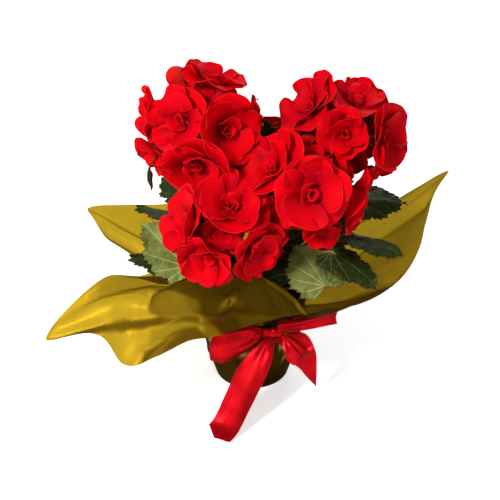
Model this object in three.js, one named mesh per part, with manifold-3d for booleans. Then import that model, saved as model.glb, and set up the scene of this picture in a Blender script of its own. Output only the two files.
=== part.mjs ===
// A potted begonia, gift wrapped: a double-flowered red begonia in a plastic grower's pot, set in a
// square of gold film that is tied round the pot's neck with red satin ribbon.
// Millimetres, +Z up, +X to the right and -Y towards the front, where the bow is. The origin is the
// middle of the flat base that the part stands on.

import * as THREE from "three";
import { mergeVertices } from "three/addons/utils/BufferGeometryUtils.js";
import Module from "manifold-3d";

const wasm = await Module();
wasm.setup();

// Driving dimensions
const SEAT_GAP = 0.3; // between pieces that rest on each other
const FILM_THICK = 0.8;
const FILM_PLEATS = 25;
const BASE_RADIUS = 43.6; // middle of the film where it turns up from the base
const NECK_RADIUS = 59.2;
const NECK_LOW = 86;
const NECK_HIGH = 100;
const POT_HEIGHT = 115;
const POT_BASE_RADIUS = 42;
const POT_SHOULDER_RADIUS = 57;
const POT_RIM_RADIUS = 60;
const POT_RIM_DEPTH = 11.5;
const POT_WALL = 1.5;
const DRAIN_HOLES = 5;
const DRAIN_RADIUS = 4;
const SOIL_LEVEL = 101;
const STEM_RADIUS = 4;
const FORK_RADIUS = 6; // where a head's flower stalks meet
const STEM_DEPTH = 22; // of each stem below the soil's level
const RIBBON_THICK = 0.8;
const RIBBON_WIDTH = 36;
const PETAL_THICK = 0.7;
const PETAL_RIPPLE = 0.04; // of the bloom's radius
const LEAF_THICK = 0.8;
const FUSE_TOLERANCE = 0.1;

const FILM = new THREE.MeshStandardMaterial({ color: 0xb8941a, roughness: 0.25, metalness: 0.1 });
const POT = new THREE.MeshStandardMaterial({ color: 0x2a231c, roughness: 0.6, metalness: 0 });
const SOIL = new THREE.MeshStandardMaterial({ color: 0x2b1d12, roughness: 1, metalness: 0 });
const RIBBON = new THREE.MeshStandardMaterial({ color: 0xd8101c, roughness: 0.35, metalness: 0 });
const FOLIAGE = new THREE.MeshStandardMaterial({ color: 0x33501c, roughness: 0.45, metalness: 0 });
const PETAL = new THREE.MeshStandardMaterial({ color: 0xe0060c, roughness: 0.5, metalness: 0 });

const group = new THREE.Group();
const radians = THREE.MathUtils.degToRad;
const mix = THREE.MathUtils.lerp;
const point = (p) => new THREE.Vector3(...p);

function addMesh(name, geometry, material) {
  const mesh = new THREE.Mesh(geometry, material);
  mesh.name = name;
  group.add(mesh);
}

// A point at an azimuth in degrees, a radius and a height round the pot's axis.
function polar(azimuth, radius, height) {
  const a = radians(azimuth);
  return new THREE.Vector3(radius * Math.cos(a), radius * Math.sin(a), height);
}

// The unit direction with an azimuth and an elevation in degrees.
function facing(azimuth, elevation) {
  const e = radians(elevation);
  return polar(azimuth, Math.cos(e), Math.sin(e));
}

// Solids
function solidOf(geometry) {
  const bare = geometry.index ? geometry.toNonIndexed() : geometry.clone();
  bare.deleteAttribute("normal");
  bare.deleteAttribute("uv");
  const merged = mergeVertices(bare, 1e-3);
  return new wasm.Manifold(
    new wasm.Mesh({
      numProp: 3,
      vertProperties: merged.attributes.position.array,
      triVerts: new Uint32Array(merged.index.array),
    }),
  );
}

function geometryOf(solid) {
  const mesh = solid.getMesh();
  const positions = new Float32Array(mesh.numVert * 3);
  for (let i = 0; i < mesh.numVert; i++)
    positions.set(mesh.vertProperties.subarray(i * mesh.numProp, i * mesh.numProp + 3), i * 3);
  return new THREE.BufferGeometry()
    .setAttribute("position", new THREE.BufferAttribute(positions, 3))
    .setIndex(new THREE.BufferAttribute(mesh.triVerts, 1));
}

// The largest body of several fused solids, without scraps, sealed hollows or sliver triangles
function fuse(geometries) {
  const whole = wasm.Manifold.union(geometries.map(solidOf)).simplify(FUSE_TOLERANCE);
  const bodies = whole.decompose().filter((body) => body.volume() > 0);
  return bodies.sort((a, b) => b.volume() - a.volume())[0];
}

// The faces between rows of points. Rows may differ in length, and are rings if closed.
function facesBetween(rows, closed) {
  const faces = [];
  let start = 0;
  for (let r = 0; r + 1 < rows.length; r++) {
    const near = rows[r].length;
    const far = rows[r + 1].length;
    const next = start + near;
    if (closed) {
      for (let i = 0; i < far; i++) {
        const j = (i + 1) % far;
        if (near > 1) faces.push([start + i, start + j, next + j]);
        faces.push([start + (near > 1 ? i : 0), next + j, next + i]);
      }
    } else {
      let a = 0;
      let b = 0;
      while (a < near - 1 || b < far - 1) {
        const stepNear = b === far - 1 || (a < near - 1 && (a + 0.5) / (near - 1) <= (b + 0.5) / (far - 1));
        if (stepNear) faces.push([start + a, start + ++a, next + b]);
        else faces.push([start + a, next + b + 1, next + b++]);
      }
    }
    start = next;
  }
  return faces;
}

// A closed thin body round the surface through rows of points, split alike on both faces.
function sheet(rows, thickness, closed = false) {
  const points = rows.flat();
  const faces = facesBetween(rows, closed);
  const normals = points.map(() => new THREE.Vector3());
  for (const [a, b, c] of faces) {
    const ab = points[b].clone().sub(points[a]);
    const normal = ab.cross(points[c].clone().sub(points[a]));
    for (const i of [a, b, c]) normals[i].add(normal);
  }
  const positions = [];
  for (const side of [0.5, -0.5])
    points.forEach((p, i) => {
      const offset = normals[i].clone().setLength(side * thickness);
      positions.push(p.x + offset.x, p.y + offset.y, p.z + offset.z);
    });
  const n = points.length;
  const edges = new Set(faces.flatMap(([a, b, c]) => [`${a},${b}`, `${b},${c}`, `${c},${a}`]));
  const index = faces.flatMap(([a, b, c]) => [a, b, c, n + a, n + c, n + b]);
  for (const edge of edges) {
    const [a, b] = edge.split(",").map(Number);
    if (!edges.has(`${b},${a}`)) index.push(b, a, n + a, b, n + a, n + b);
  }
  return new THREE.BufferGeometry()
    .setAttribute("position", new THREE.BufferAttribute(new Float32Array(positions), 3))
    .setIndex(index);
}

function tube(curve, radius, sides, steps) {
  const section = new THREE.Shape();
  for (let i = 0; i < sides; i++) {
    const a = (2 * Math.PI * i) / sides;
    section[i ? "lineTo" : "moveTo"](radius * Math.cos(a), radius * Math.sin(a));
  }
  section.closePath();
  return new THREE.ExtrudeGeometry(section, { steps, extrudePath: curve, curveSegments: 1 });
}

// A lathe about +Z, from [radius, height] pairs that start and end on the axis.
function turned(profile, segments) {
  const points = profile.map(([r, z]) => new THREE.Vector2(r, z));
  return new THREE.LatheGeometry(points, segments).rotateX(Math.PI / 2);
}

// Moves a shape that points along +Z so that it points another way from another place.
function placed(geometry, direction, place, roll = 0) {
  const turn = new THREE.Quaternion().setFromUnitVectors(new THREE.Vector3(0, 0, 1), direction);
  const spin = new THREE.Quaternion().setFromAxisAngle(new THREE.Vector3(0, 0, 1), roll);
  return geometry.applyQuaternion(turn.multiply(spin)).translate(place.x, place.y, place.z);
}

// The grower's pot: a thin tapered wall with a stepped rim, and drain holes in its floor
function potWallRadius(height) {
  return mix(POT_BASE_RADIUS, POT_SHOULDER_RADIUS, height / (POT_HEIGHT - POT_RIM_DEPTH));
}

function makePot() {
  const floor = FILM_THICK + SEAT_GAP;
  const step = POT_HEIGHT - POT_RIM_DEPTH;
  let pot = solidOf(
    turned(
      [
        [0, floor],
        [POT_BASE_RADIUS, floor],
        [POT_SHOULDER_RADIUS, step - 1],
        [POT_RIM_RADIUS, step],
        [POT_RIM_RADIUS, POT_HEIGHT],
        [POT_RIM_RADIUS - POT_WALL, POT_HEIGHT],
        [POT_RIM_RADIUS - POT_WALL, step + POT_WALL],
        [POT_SHOULDER_RADIUS - POT_WALL, step - 1],
        [POT_BASE_RADIUS - POT_WALL, floor + POT_WALL],
        [0, floor + POT_WALL],
      ],
      28,
    ),
  );
  for (let i = 0; i < DRAIN_HOLES; i++) {
    const middle = polar((360 * i) / DRAIN_HOLES, 0.62 * POT_BASE_RADIUS, floor);
    const hole = new THREE.CylinderGeometry(DRAIN_RADIUS, DRAIN_RADIUS, 10, 6).rotateX(Math.PI / 2);
    pot = pot.subtract(solidOf(hole.translate(middle.x, middle.y, middle.z)));
  }
  return geometryOf(pot);
}

// The plant. Each leafy stem rises from the soil to the middle of one flower head. A bloom faces
// out from its head's middle, in a direction given as azimuth and elevation in degrees, with its
// back at "out" millimetres from the middle. Leaves are set along the stem: "at" is the share of
// the stem's length where the leaf stalk leaves it.
const ROSE = {
  petals: 5,
  spread: 137.5,
  rim: 5,
  lean: [52, 24],
  flare: [102, 38],
  width: 1.05,
  wrap: 1.15,
  inner: 0.78,
};
const CUP = {
  petals: 4,
  spread: 98,
  rim: 4,
  lean: [46, 22],
  flare: [88, 22],
  width: 1.05,
  wrap: 1.3,
  inner: 0.85,
};
const BUD = { petals: 0 };

const HEADS = [
  {
    name: "left",
    foot: [-14, 6],
    middle: [-52, 0, 318],
    blooms: [
      { kind: ROSE, azimuth: 306, elevation: 14, out: 32, radius: 34 },
      { kind: ROSE, azimuth: 262, elevation: -26, out: 40, radius: 32 },
      { kind: ROSE, azimuth: 236, elevation: 28, out: 31, radius: 31 },
      { kind: ROSE, azimuth: 20, elevation: 74, out: 40, radius: 31 },
      { kind: CUP, azimuth: 170, elevation: 18, out: 42, radius: 26, faces: [196, 12] },
      { kind: CUP, azimuth: 196, elevation: -22, out: 42, radius: 26, faces: [222, -22] },
      { kind: CUP, azimuth: 222, elevation: -58, out: 54, radius: 14 },
      { kind: CUP, azimuth: 8, elevation: 14, out: 44, radius: 18 },
      { kind: ROSE, azimuth: 86, elevation: 8, out: 32, radius: 32 },
      { kind: CUP, azimuth: 140, elevation: -34, out: 36, radius: 28 },
      { kind: BUD, azimuth: 136, elevation: 50, out: 44, radius: 13 },
      { kind: BUD, azimuth: 326, elevation: -46, out: 42, radius: 12 },
    ],
    leaves: [
      { at: 0.32, base: [-76, 20, 196], turn: [166, 12, 10], size: [56, 50], cup: -0.2, droop: 0.1 },
      { at: 0.42, base: [-62, 62, 196], turn: [132, 12, -5], size: [68, 58], cup: -0.2, droop: 0.15 },
    ],
  },
  {
    name: "right",
    foot: [15, 5],
    middle: [100, 15, 304],
    blooms: [
      { kind: ROSE, azimuth: 176, elevation: 36, out: 38, radius: 33, faces: [200, 42] },
      { kind: ROSE, azimuth: 316, elevation: 70, out: 34, radius: 27 },
      { kind: ROSE, azimuth: 322, elevation: 10, out: 38, radius: 32 },
      { kind: CUP, azimuth: 264, elevation: 22, out: 30, radius: 26 },
      { kind: CUP, azimuth: 312, elevation: -40, out: 42, radius: 17 },
      { kind: ROSE, azimuth: 62, elevation: 24, out: 32, radius: 32 },
      { kind: CUP, azimuth: 8, elevation: -28, out: 36, radius: 27 },
      { kind: CUP, azimuth: 118, elevation: 0, out: 36, radius: 26 },
      { kind: BUD, azimuth: 216, elevation: 0, out: 36, radius: 12 },
    ],
    leaves: [
      { at: 0.3, base: [86, -38, 186], turn: [322, -8, 0], size: [60, 54], cup: -0.18, droop: 0.2 },
      { at: 0.36, base: [106, -14, 194], turn: [335, 0, -10], size: [62, 50], cup: -0.2, droop: 0.15 },
      { at: 0.48, base: [106, 22, 218], turn: [358, 8, 10], size: [64, 54], cup: -0.2, droop: 0.2 },
    ],
  },
  {
    name: "centre",
    foot: [8, -10],
    middle: [54, -40, 268],
    blooms: [
      { kind: ROSE, azimuth: 206, elevation: 38, out: 34, radius: 34 },
      { kind: ROSE, azimuth: 276, elevation: 18, out: 42, radius: 34 },
      { kind: CUP, azimuth: 346, elevation: -14, out: 34, radius: 33 },
      { kind: CUP, azimuth: 304, elevation: -52, out: 44, radius: 20, faces: [288, -8] },
      { kind: CUP, azimuth: 232, elevation: -16, out: 30, radius: 20 },
      { kind: CUP, azimuth: 4, elevation: 32, out: 36, radius: 17 },
    ],
    leaves: [
      { at: 0.25, base: [79, -71, 163], turn: [128, 36, 0], size: [54, 68], cup: -0.15, droop: 0.15 },
      { at: 0.8, base: [14, 6, 268], turn: [110, 62, 0], size: [52, 46], cup: 0.15, droop: -0.1 },
    ],
  },
  {
    name: "front",
    foot: [-8, -12],
    middle: [-25, -58, 228],
    blooms: [
      { kind: ROSE, azimuth: 280, elevation: 58, out: 32, radius: 33 },
      { kind: ROSE, azimuth: 202, elevation: 22, out: 35, radius: 33 },
      { kind: ROSE, azimuth: 308, elevation: -8, out: 36, radius: 27 },
      { kind: CUP, azimuth: 248, elevation: -10, out: 38, radius: 30 },
      { kind: CUP, azimuth: 356, elevation: -10, out: 36, radius: 24 },
    ],
    leaves: [
      { at: 0.3, base: [-71, -50, 174], turn: [152, 36, -44], size: [66, 54], cup: 0.25, droop: 0.1 },
      { at: 0.3, base: [-72, -28, 160], turn: [180, 16, -8], size: [62, 52], cup: -0.15, droop: 0.1 },
    ],
  },
  {
    name: "back",
    foot: [0, 15],
    middle: [20, 62, 244],
    blooms: [
      { kind: ROSE, azimuth: 84, elevation: 6, out: 32, radius: 33 },
      { kind: CUP, azimuth: 148, elevation: 6, out: 36, radius: 31 },
      { kind: CUP, azimuth: 20, elevation: -14, out: 36, radius: 31 },
      { kind: CUP, azimuth: 86, elevation: -56, out: 38, radius: 26 },
    ],
    leaves: [
      { at: 0.4, base: [60, 62, 188], turn: [36, 15, 0], size: [70, 60], cup: -0.2, droop: 0.12 },
      { at: 0.3, base: [6, 76, 181], turn: [96, 14, 5], size: [68, 62], cup: -0.2, droop: 0.15 },
      { at: 0.42, base: [-20, 56, 172], turn: [144, 8, -8], size: [60, 58], cup: -0.2, droop: 0.2 },
    ],
  },
];

// One petal of a bloom that faces +Z. Every petal lies on a bowl of its own about the bloom's axis,
// and each bowl nests inside the one before it, so the petals overlap without crossing.
function petalRows(kind, radius, k) {
  const inward = k / (kind.petals - 1);
  const turn = k * radians(kind.spread);
  const length = radius * mix(1, kind.inner, inward);
  const lean = radians(mix(...kind.lean, inward));
  const flare = radians(mix(...kind.flare, inward));
  const outline = [
    { along: 0, width: 0, points: 1 },
    { along: 0.45, width: 0.9, points: 3 },
    { along: 1, width: 0.85, points: kind.rim },
  ];
  return outline.map(({ along, width, points }) =>
    Array.from({ length: points }, (_, i) => {
      const across = points > 1 ? (2 * i) / (points - 1) - 1 : 0;
      const reach = along * (1 - 0.25 * across * across * along);
      const angle = mix(lean, flare, reach / 2);
      const out = 0.1 * radius + length * reach * Math.sin(angle);
      const wide = length * kind.width * width;
      const swing = Math.min(kind.wrap, wide / out) * across;
      const wave = radius * PETAL_RIPPLE * along * Math.sin(4 * across + 2 * k);
      const up = 0.1 * radius + k + length * reach * Math.cos(angle) + wave;
      return new THREE.Vector3(out * Math.cos(turn + swing), out * Math.sin(turn + swing), up);
    }),
  );
}

// A bloom with its back at the origin: petals in layers round a heart of closed ones
function makeBloom(kind, radius) {
  const heart = turned(
    [
      [0, 0],
      [0.18 * radius, 0.16 * radius],
      [0.16 * radius, 0.55 * radius],
      [0, 0.68 * radius],
    ],
    5,
  );
  const petals = [];
  for (let k = 0; k < kind.petals; k++) petals.push(sheet(petalRows(kind, radius, k), PETAL_THICK));
  return geometryOf(fuse([heart, ...petals]));
}

// A closed bud: two round petals pressed face to face, on a short neck
function makeBud(radius) {
  const lens = new THREE.SphereGeometry(radius, 8, 5).scale(1, 0.62, 1).translate(0, 0, radius * 1.06);
  const neck = new THREE.CylinderGeometry(2, 2, 4, 5).rotateX(Math.PI / 2).translate(0, 0, 2);
  return geometryOf(fuse([lens, neck]));
}

// Leaf blade: rows across the blade from its heart-shaped base to its tip, with a toothed edge
const HALF_OUTLINE = new THREE.CatmullRomCurve3(
  [
    [0.02, 0.02],
    [0.4, -0.13],
    [0.82, -0.04],
    [1, 0.2],
    [0.93, 0.46],
    [0.64, 0.74],
    [0.27, 0.93],
    [0.03, 1.04],
  ].map(([x, y]) => new THREE.Vector3(x, y, 0)),
);
const LEAF_ROWS = 12;

function bladeRows({ size: [length, width], cup, droop }) {
  return Array.from({ length: LEAF_ROWS }, (_, i) => {
    const v = i / (LEAF_ROWS - 1);
    const edge = HALF_OUTLINE.getPoint(v);
    const tooth = i % 2 ? 1.09 : 0.92;
    const reach = edge.y + (i % 2 ? 0.02 : -0.01);
    const sag = (y) => -droop * length * y * Math.abs(y);
    return [-1, 0, 1].map((side) => {
      const x = (side * edge.x * tooth * width) / 2;
      const y = side ? reach : v;
      const ripple = 0.02 * length * side * Math.sin(9 * v);
      return new THREE.Vector3(x, y * length, sag(y) + cup * Math.abs(x) + ripple);
    });
  });
}

// A leafy stem: stem, leaf stalks, leaves and flower stalks grown as one
function stemCurve(head) {
  const [x, y] = head.foot;
  const [mx, my, mz] = head.middle;
  return new THREE.CatmullRomCurve3([
    new THREE.Vector3(x, y, SOIL_LEVEL - STEM_DEPTH + 0.5),
    new THREE.Vector3(x, y, SOIL_LEVEL),
    new THREE.Vector3(x, y, SOIL_LEVEL + 14),
    new THREE.Vector3(mix(x, mx, 0.35), mix(y, my, 0.35), mix(SOIL_LEVEL, mz, 0.5)),
    point(head.middle),
  ]);
}

function makeLeaf(stem, leaf) {
  const [azimuth, pitch, roll] = leaf.turn.map(radians);
  const turn = new THREE.Matrix4()
    .makeRotationZ(azimuth - Math.PI / 2)
    .multiply(new THREE.Matrix4().makeRotationX(pitch))
    .multiply(new THREE.Matrix4().makeRotationY(roll))
    .setPosition(point(leaf.base));
  const blade = sheet(bladeRows(leaf), LEAF_THICK).applyMatrix4(turn);
  const sunk = new THREE.Vector3(0, 0.1 * leaf.size[0], -0.4).applyMatrix4(turn);
  const from = stem.getPoint(leaf.at);
  const rise = mix(from.z, leaf.base[2], 0.75);
  const bend = new THREE.Vector3(mix(from.x, leaf.base[0], 0.6), mix(from.y, leaf.base[1], 0.6), rise);
  const stalk = tube(new THREE.CatmullRomCurve3([from, bend, point(leaf.base), sunk]), 1.8, 4, 5);
  return [blade, stalk];
}

function bloomFacing({ azimuth, elevation, faces = [azimuth, elevation] }) {
  return facing(...faces);
}

function bloomBack(head, { azimuth, elevation, out }) {
  return point(head.middle).addScaledVector(facing(azimuth, elevation), out);
}

function makeLeafyStem(head) {
  const stem = stemCurve(head);
  const middle = point(head.middle);
  const fork = new THREE.SphereGeometry(FORK_RADIUS, 7, 5).translate(...head.middle);
  const parts = [tube(stem, STEM_RADIUS, 7, 6), fork];
  for (const leaf of head.leaves) parts.push(...makeLeaf(stem, leaf));
  for (const bloom of head.blooms) {
    const along = facing(bloom.azimuth, bloom.elevation);
    const from = middle.clone().addScaledVector(along, FORK_RADIUS - 2);
    const to = bloomBack(head, bloom).addScaledVector(bloomFacing(bloom), -SEAT_GAP);
    const between = from.clone().lerp(to, 0.5).add(new THREE.Vector3(0, 0, -2));
    parts.push(tube(new THREE.QuadraticBezierCurve3(from, between, to), 1.5, 4, 2));
  }
  return geometryOf(fuse(parts));
}

// The soil: a low mound that fills the pot, with a plain hole for each stem
function makeSoil() {
  const gap = POT_WALL + SEAT_GAP;
  const floor = FILM_THICK + SEAT_GAP + gap;
  let soil = solidOf(
    turned(
      [
        [0, floor],
        [POT_BASE_RADIUS - gap - 0.3, floor],
        [potWallRadius(SOIL_LEVEL - 6) - gap - 0.6, SOIL_LEVEL - 6],
        [38, SOIL_LEVEL - 2],
        [18, SOIL_LEVEL],
        [0, SOIL_LEVEL + 0.5],
      ],
      24,
    ),
  );
  for (const { foot } of HEADS) {
    const r = STEM_RADIUS + 0.8;
    const hole = new THREE.CylinderGeometry(r, r, 2 * STEM_DEPTH, 10).rotateX(Math.PI / 2);
    soil = soil.subtract(solidOf(hole.translate(foot[0], foot[1], SOIL_LEVEL)));
  }
  return geometryOf(soil);
}

// The film: from its base it rises round the pot, is gathered at the neck, and opens into a collar.
// Each row is one station round the collar: azimuth, radius and height of the film's crest, where
// it is highest or turns over, and then of its free edge.
const FILM_STATIONS = [
  [14, 140, 172, 14, 226, 238],
  [22, 122, 158, 23, 188, 187],
  [32, 110, 147, 31, 174, 160],
  [46, 101, 141, 42, 154, 148],
  [62, 96, 143, 62, 134, 153],
  [84, 94, 148, 86, 126, 166],
  [105, 98, 150, 109, 132, 172],
  [123, 106, 142, 133, 156, 162],
  [147, 122, 140, 154, 217, 169],
  [159, 112, 134, 166, 172, 155],
  [171, 97, 127, 175, 136, 148],
  [183, 90, 124, 182, 114, 140],
  [189, 112, 137, 190, 146, 148],
  [194, 146, 149, 194, 167, 156],
  [199, 172, 140, 202, 240, 112],
  [203, 150, 147, 211, 190, 116],
  [208, 132, 150, 220, 178, 90],
  [215, 126, 156, 229, 152, 103],
  [226, 120, 175, 238, 124, 116],
  [238, 112, 191, 249, 110, 119],
  [251, 100, 200, 261, 107, 130],
  [264, 97, 200, 273, 107, 139],
  [276, 96, 190, 285, 110, 145],
  [287, 96, 166, 295, 114, 148],
  [297, 94, 134, 302, 120, 146],
  [307, 97, 128, 308, 128, 151],
  [317, 104, 128, 318, 146, 156],
  [328, 114, 130, 329, 160, 160],
  [340, 122, 134, 338, 176, 174],
  [352, 130, 144, 347, 186, 192],
  [2, 138, 156, 356, 192, 206],
  [9, 142, 166, 6, 204, 220],
];

function makeFilm() {
  const count = 2 * FILM_PLEATS;
  const crest = new THREE.CatmullRomCurve3(FILM_STATIONS.map((s) => polar(...s.slice(0, 3))), true);
  const edge = new THREE.CatmullRomCurve3(FILM_STATIONS.map((s) => polar(...s.slice(3))), true);
  const ring = (radius, height, pleat) =>
    Array.from({ length: count }, (_, i) =>
      polar(FILM_STATIONS[0][0] + (360 * i) / count, radius + (i % 2 ? pleat : -pleat), height),
    );
  const foot = FILM_THICK / 2;
  const rows = [
    [new THREE.Vector3(0, 0, foot)],
    ring(BASE_RADIUS - 1.2, foot, 0),
    ring(BASE_RADIUS, foot + 0.3, 0),
    ring(53.5, 36, 1.4),
    ring(NECK_RADIUS - 0.6, NECK_LOW, 0.8),
    ring(NECK_RADIUS, NECK_HIGH, 0.8),
    ring(NECK_RADIUS + 4, NECK_HIGH + 4, 1),
  ];
  const start = ring(NECK_RADIUS + 9, NECK_HIGH + 18, 1.4);
  rows.push(start);
  const profiles = start.map((p, i) => {
    const c = crest.getPoint(i / count);
    const e = edge.getPoint(i / count);
    return new THREE.CatmullRomCurve3([rows[6][i], p, c, e], false, "catmullrom", 0.45);
  });
  for (const t of [0.5, 0.6667, 0.8, 1]) rows.push(profiles.map((profile) => profile.getPoint(t)));
  return sheet(rows, FILM_THICK, true);
}

// The ribbon: a band round the neck, and a bow in front with a knot, three loops and two tails
const KNOT = new THREE.Vector3(22, -64.2, 96);

// A strip of ribbon along a path, lying across it in the given directions. It widens from its first
// width to its second over the first part of its length, and a loop narrows again at its end. A tail
// is cut to a point: "cut" gives the share of the path at which its edges and its middle end.
function strip({ path, across, width: [narrow, wide, quick], cut = [1, 1] }, steps, isLoop) {
  const curve = new THREE.CatmullRomCurve3(path.map(point));
  const sides = new THREE.CatmullRomCurve3(across.map(point));
  const rows = Array.from({ length: steps + 1 }, (_, i) =>
    cut.map((end, k) => {
      const t = (end * i) / steps;
      const opened = Math.min(1, quick * t * (isLoop ? 2 * (1 - t) : 1));
      const half = mix(narrow, wide, Math.sin((Math.PI / 2) * opened)) / 2;
      const aside = half * ((2 * k) / (cut.length - 1) - 1);
      return curve.getPoint(t).addScaledVector(sides.getPoint(t).normalize(), aside);
    }),
  );
  return sheet(rows, RIBBON_THICK);
}

const LOOPS = {
  ribbon_loop_left: {
    path: [
      [10.5, -66.9, 97],
      [-8, -78, 94],
      [-28, -83, 89],
      [-43, -78, 87],
      [-40, -70, 89],
      [-16, -67, 93],
      [10.5, -63.3, 96],
    ],
    across: [
      [0, 0, 1],
      [0.1, 0, 1],
      [0.15, 0.1, 1],
      [0.2, 0, 1],
      [0.15, -0.2, 1],
      [0.1, -0.1, 1],
      [0, 0, 1],
    ],
    width: [9, RIBBON_WIDTH, 2.2],
  },
  ribbon_loop_right: {
    path: [
      [33, -67.1, 93],
      [42, -79, 88],
      [50, -83, 78],
      [58, -80, 72],
      [58, -74, 76],
      [47, -71, 84],
      [33.3, -65.4, 91.6],
    ],
    across: [
      [0, 0, 1],
      [0.5, -0.3, 0.8],
      [0.8, -0.2, 0.6],
      [0.8, 0.1, 0.6],
      [0.7, 0.2, 0.7],
      [0.4, 0.1, 0.9],
      [0, 0, 1],
    ],
    width: [9, RIBBON_WIDTH * 0.8, 1.5],
  },
  ribbon_loop_side: {
    path: [
      [28.3, -68.3, 105],
      [52, -67, 107],
      [80, -58, 108],
      [96, -49, 107],
      [91, -45, 107],
      [62, -56, 107],
      [28.3, -65.7, 105.8],
    ],
    across: [
      [0, 0, 1],
      [0, -0.1, 1],
      [0, -0.1, 1],
      [0, 0, 1],
      [0, 0.1, 1],
      [0, 0.1, 1],
      [0, 0, 1],
    ],
    width: [8, RIBBON_WIDTH * 0.5, 1.5],
  },
};

const TAILS = {
  ribbon_tail_left: {
    path: [
      [18.6, -65.6, 89.1],
      [10, -79, 78],
      [-3, -92, 56],
      [-16, -104, 31],
      [-30, -118, 7],
      [-42, -129, 0.7],
    ],
    across: [
      [1, 0, 0],
      [0.9, -0.3, 0.1],
      [0.85, -0.5, 0],
      [0.8, -0.6, 0],
      [0.75, -0.66, 0],
      [0.75, -0.66, 0],
    ],
    width: [10, RIBBON_WIDTH, 2.5],
    cut: [0.88, 1, 0.94],
  },
  ribbon_tail_right: {
    path: [
      [27, -65.2, 89],
      [37, -62, 87],
      [50, -63, 84],
      [59, -64, 65],
      [61, -62, 42],
      [62, -57, 9],
    ],
    across: [
      [1, 0, 0.2],
      [0.7, 0, 0.9],
      [0.8, 0.1, 0.7],
      [1, 0.15, 0.3],
      [1, 0.2, 0.2],
      [1, 0.3, 0.2],
    ],
    width: [8, RIBBON_WIDTH * 0.75, 2.5],
    cut: [0.68, 0.86, 1],
  },
};

function makeBand() {
  const inner = NECK_RADIUS + 1.9;
  const outer = inner + RIBBON_THICK;
  const profile = [
    [inner, NECK_LOW + 1],
    [outer, NECK_LOW + 1],
    [outer, NECK_HIGH - 1],
    [inner, NECK_HIGH - 1],
    [inner, NECK_LOW + 1],
  ];
  return turned(profile, 30);
}

addMesh("film_wrap", makeFilm(), FILM);
addMesh("pot", makePot(), POT);
addMesh("soil", makeSoil(), SOIL);
addMesh("ribbon_band", makeBand(), RIBBON);
addMesh("ribbon_knot", new THREE.SphereGeometry(1, 10, 7).scale(11.5, 5.5, 7).translate(...KNOT), RIBBON);
for (const [name, loop] of Object.entries(LOOPS)) addMesh(name, strip(loop, 14, true), RIBBON);
for (const [name, tail] of Object.entries(TAILS)) addMesh(name, strip(tail, 10, false), RIBBON);

for (const head of HEADS) {
  addMesh(`leafy_stem_${head.name}`, makeLeafyStem(head), FOLIAGE);
  head.blooms.forEach((bloom, i) => {
    const shape = bloom.kind === BUD ? makeBud(bloom.radius) : makeBloom(bloom.kind, bloom.radius);
    const name = `${bloom.kind === BUD ? "bud" : "bloom"}_${head.name}_${i + 1}`;
    addMesh(name, placed(shape, bloomFacing(bloom), bloomBack(head, bloom), i), PETAL);
  });
}

export default group;
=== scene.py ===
"""The looks of a gift-wrapped begonia: the plant, its pot, the gold film and the red ribbon.

Places and sizes are in millimetres, +Z up, +X to the right and -Y towards the front, as in the
frame, and each finished mesh is in metres.
"""

import math
import random
from typing import NamedTuple

import bpy
from bpy.props import FloatProperty, FloatVectorProperty, IntProperty, PointerProperty
from mathutils import Matrix, Vector, noise


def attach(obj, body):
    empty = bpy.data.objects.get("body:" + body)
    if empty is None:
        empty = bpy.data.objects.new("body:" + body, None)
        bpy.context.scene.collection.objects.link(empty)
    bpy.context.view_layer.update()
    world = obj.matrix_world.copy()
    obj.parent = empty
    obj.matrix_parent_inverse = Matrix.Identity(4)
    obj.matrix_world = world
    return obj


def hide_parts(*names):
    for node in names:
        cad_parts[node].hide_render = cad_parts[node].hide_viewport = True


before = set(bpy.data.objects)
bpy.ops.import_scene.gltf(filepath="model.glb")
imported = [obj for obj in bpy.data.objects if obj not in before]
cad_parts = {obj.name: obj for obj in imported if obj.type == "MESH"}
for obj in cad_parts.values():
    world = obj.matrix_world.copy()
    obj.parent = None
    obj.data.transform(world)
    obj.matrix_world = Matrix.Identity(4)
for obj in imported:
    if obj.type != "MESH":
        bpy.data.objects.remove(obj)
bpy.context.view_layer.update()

bl_info = {
    "name": "Wrapped begonia",
    "version": (1, 0, 0),
    "blender": (4, 5, 0),
    "location": "3D View > Sidebar > Begonia",
    "description": "Models a red begonia in a pot, wrapped in gold film with a ribbon bow",
    "category": "Object",
}

MM = 0.001
GOLDEN_ANGLE = math.radians(137.5)

# The photograph's camera
VIEW_PIXELS = 500
FOCAL_PIXELS = 980
CENTRE_COLUMN = 252
CENTRE_ROW = 231
CAMERA_DISTANCE = 1100
CAMERA_ELEVATION = math.radians(30)
CAMERA_TARGET = Vector((0, 0, 190))
SENSOR = 36

# Pot, soil and film, as in the frame
POT_HEIGHT = 115
POT_BASE_RADIUS = 42
POT_SHOULDER_RADIUS = 57
POT_RIM_RADIUS = 60
POT_RIM_DEPTH = 11.5
POT_WALL = 1.5
DRAIN_HOLES = 5
DRAIN_RADIUS = 4
DRAIN_RING = 0.62
POT_FLOOR = 1.1
SOIL_LEVEL = 101
SOIL_EDGE = 95
SOIL_MOUND = 6.3
BASE_RADIUS = 43.6
NECK_RADIUS = 59.2
NECK_LOW = 86
NECK_HIGH = 100
STEM_DEPTH = 22
SEAT_GAP = 0.3

# How far on and back along a path its direction is taken, as a share of the path
PATH_STEP = 0.01


class Bloom(NamedTuple):
    """A bloom: the place of its back from its head's middle, its radius, and which way it looks.

    Angles are in degrees. A bloom without a face of its own looks away from the middle.
    """

    kind: str
    azimuth: float
    elevation: float
    out: float
    radius: float
    face: tuple = ()


class Leaf(NamedTuple):
    """A leaf: the share of its stem where its stalk starts, and the base and shape of its blade.

    The turn is its azimuth, pitch and roll in degrees, and the size its length and width.
    """

    at: float
    base: tuple
    turn: tuple
    size: tuple
    cup: float
    droop: float
    young: bool = False


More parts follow.
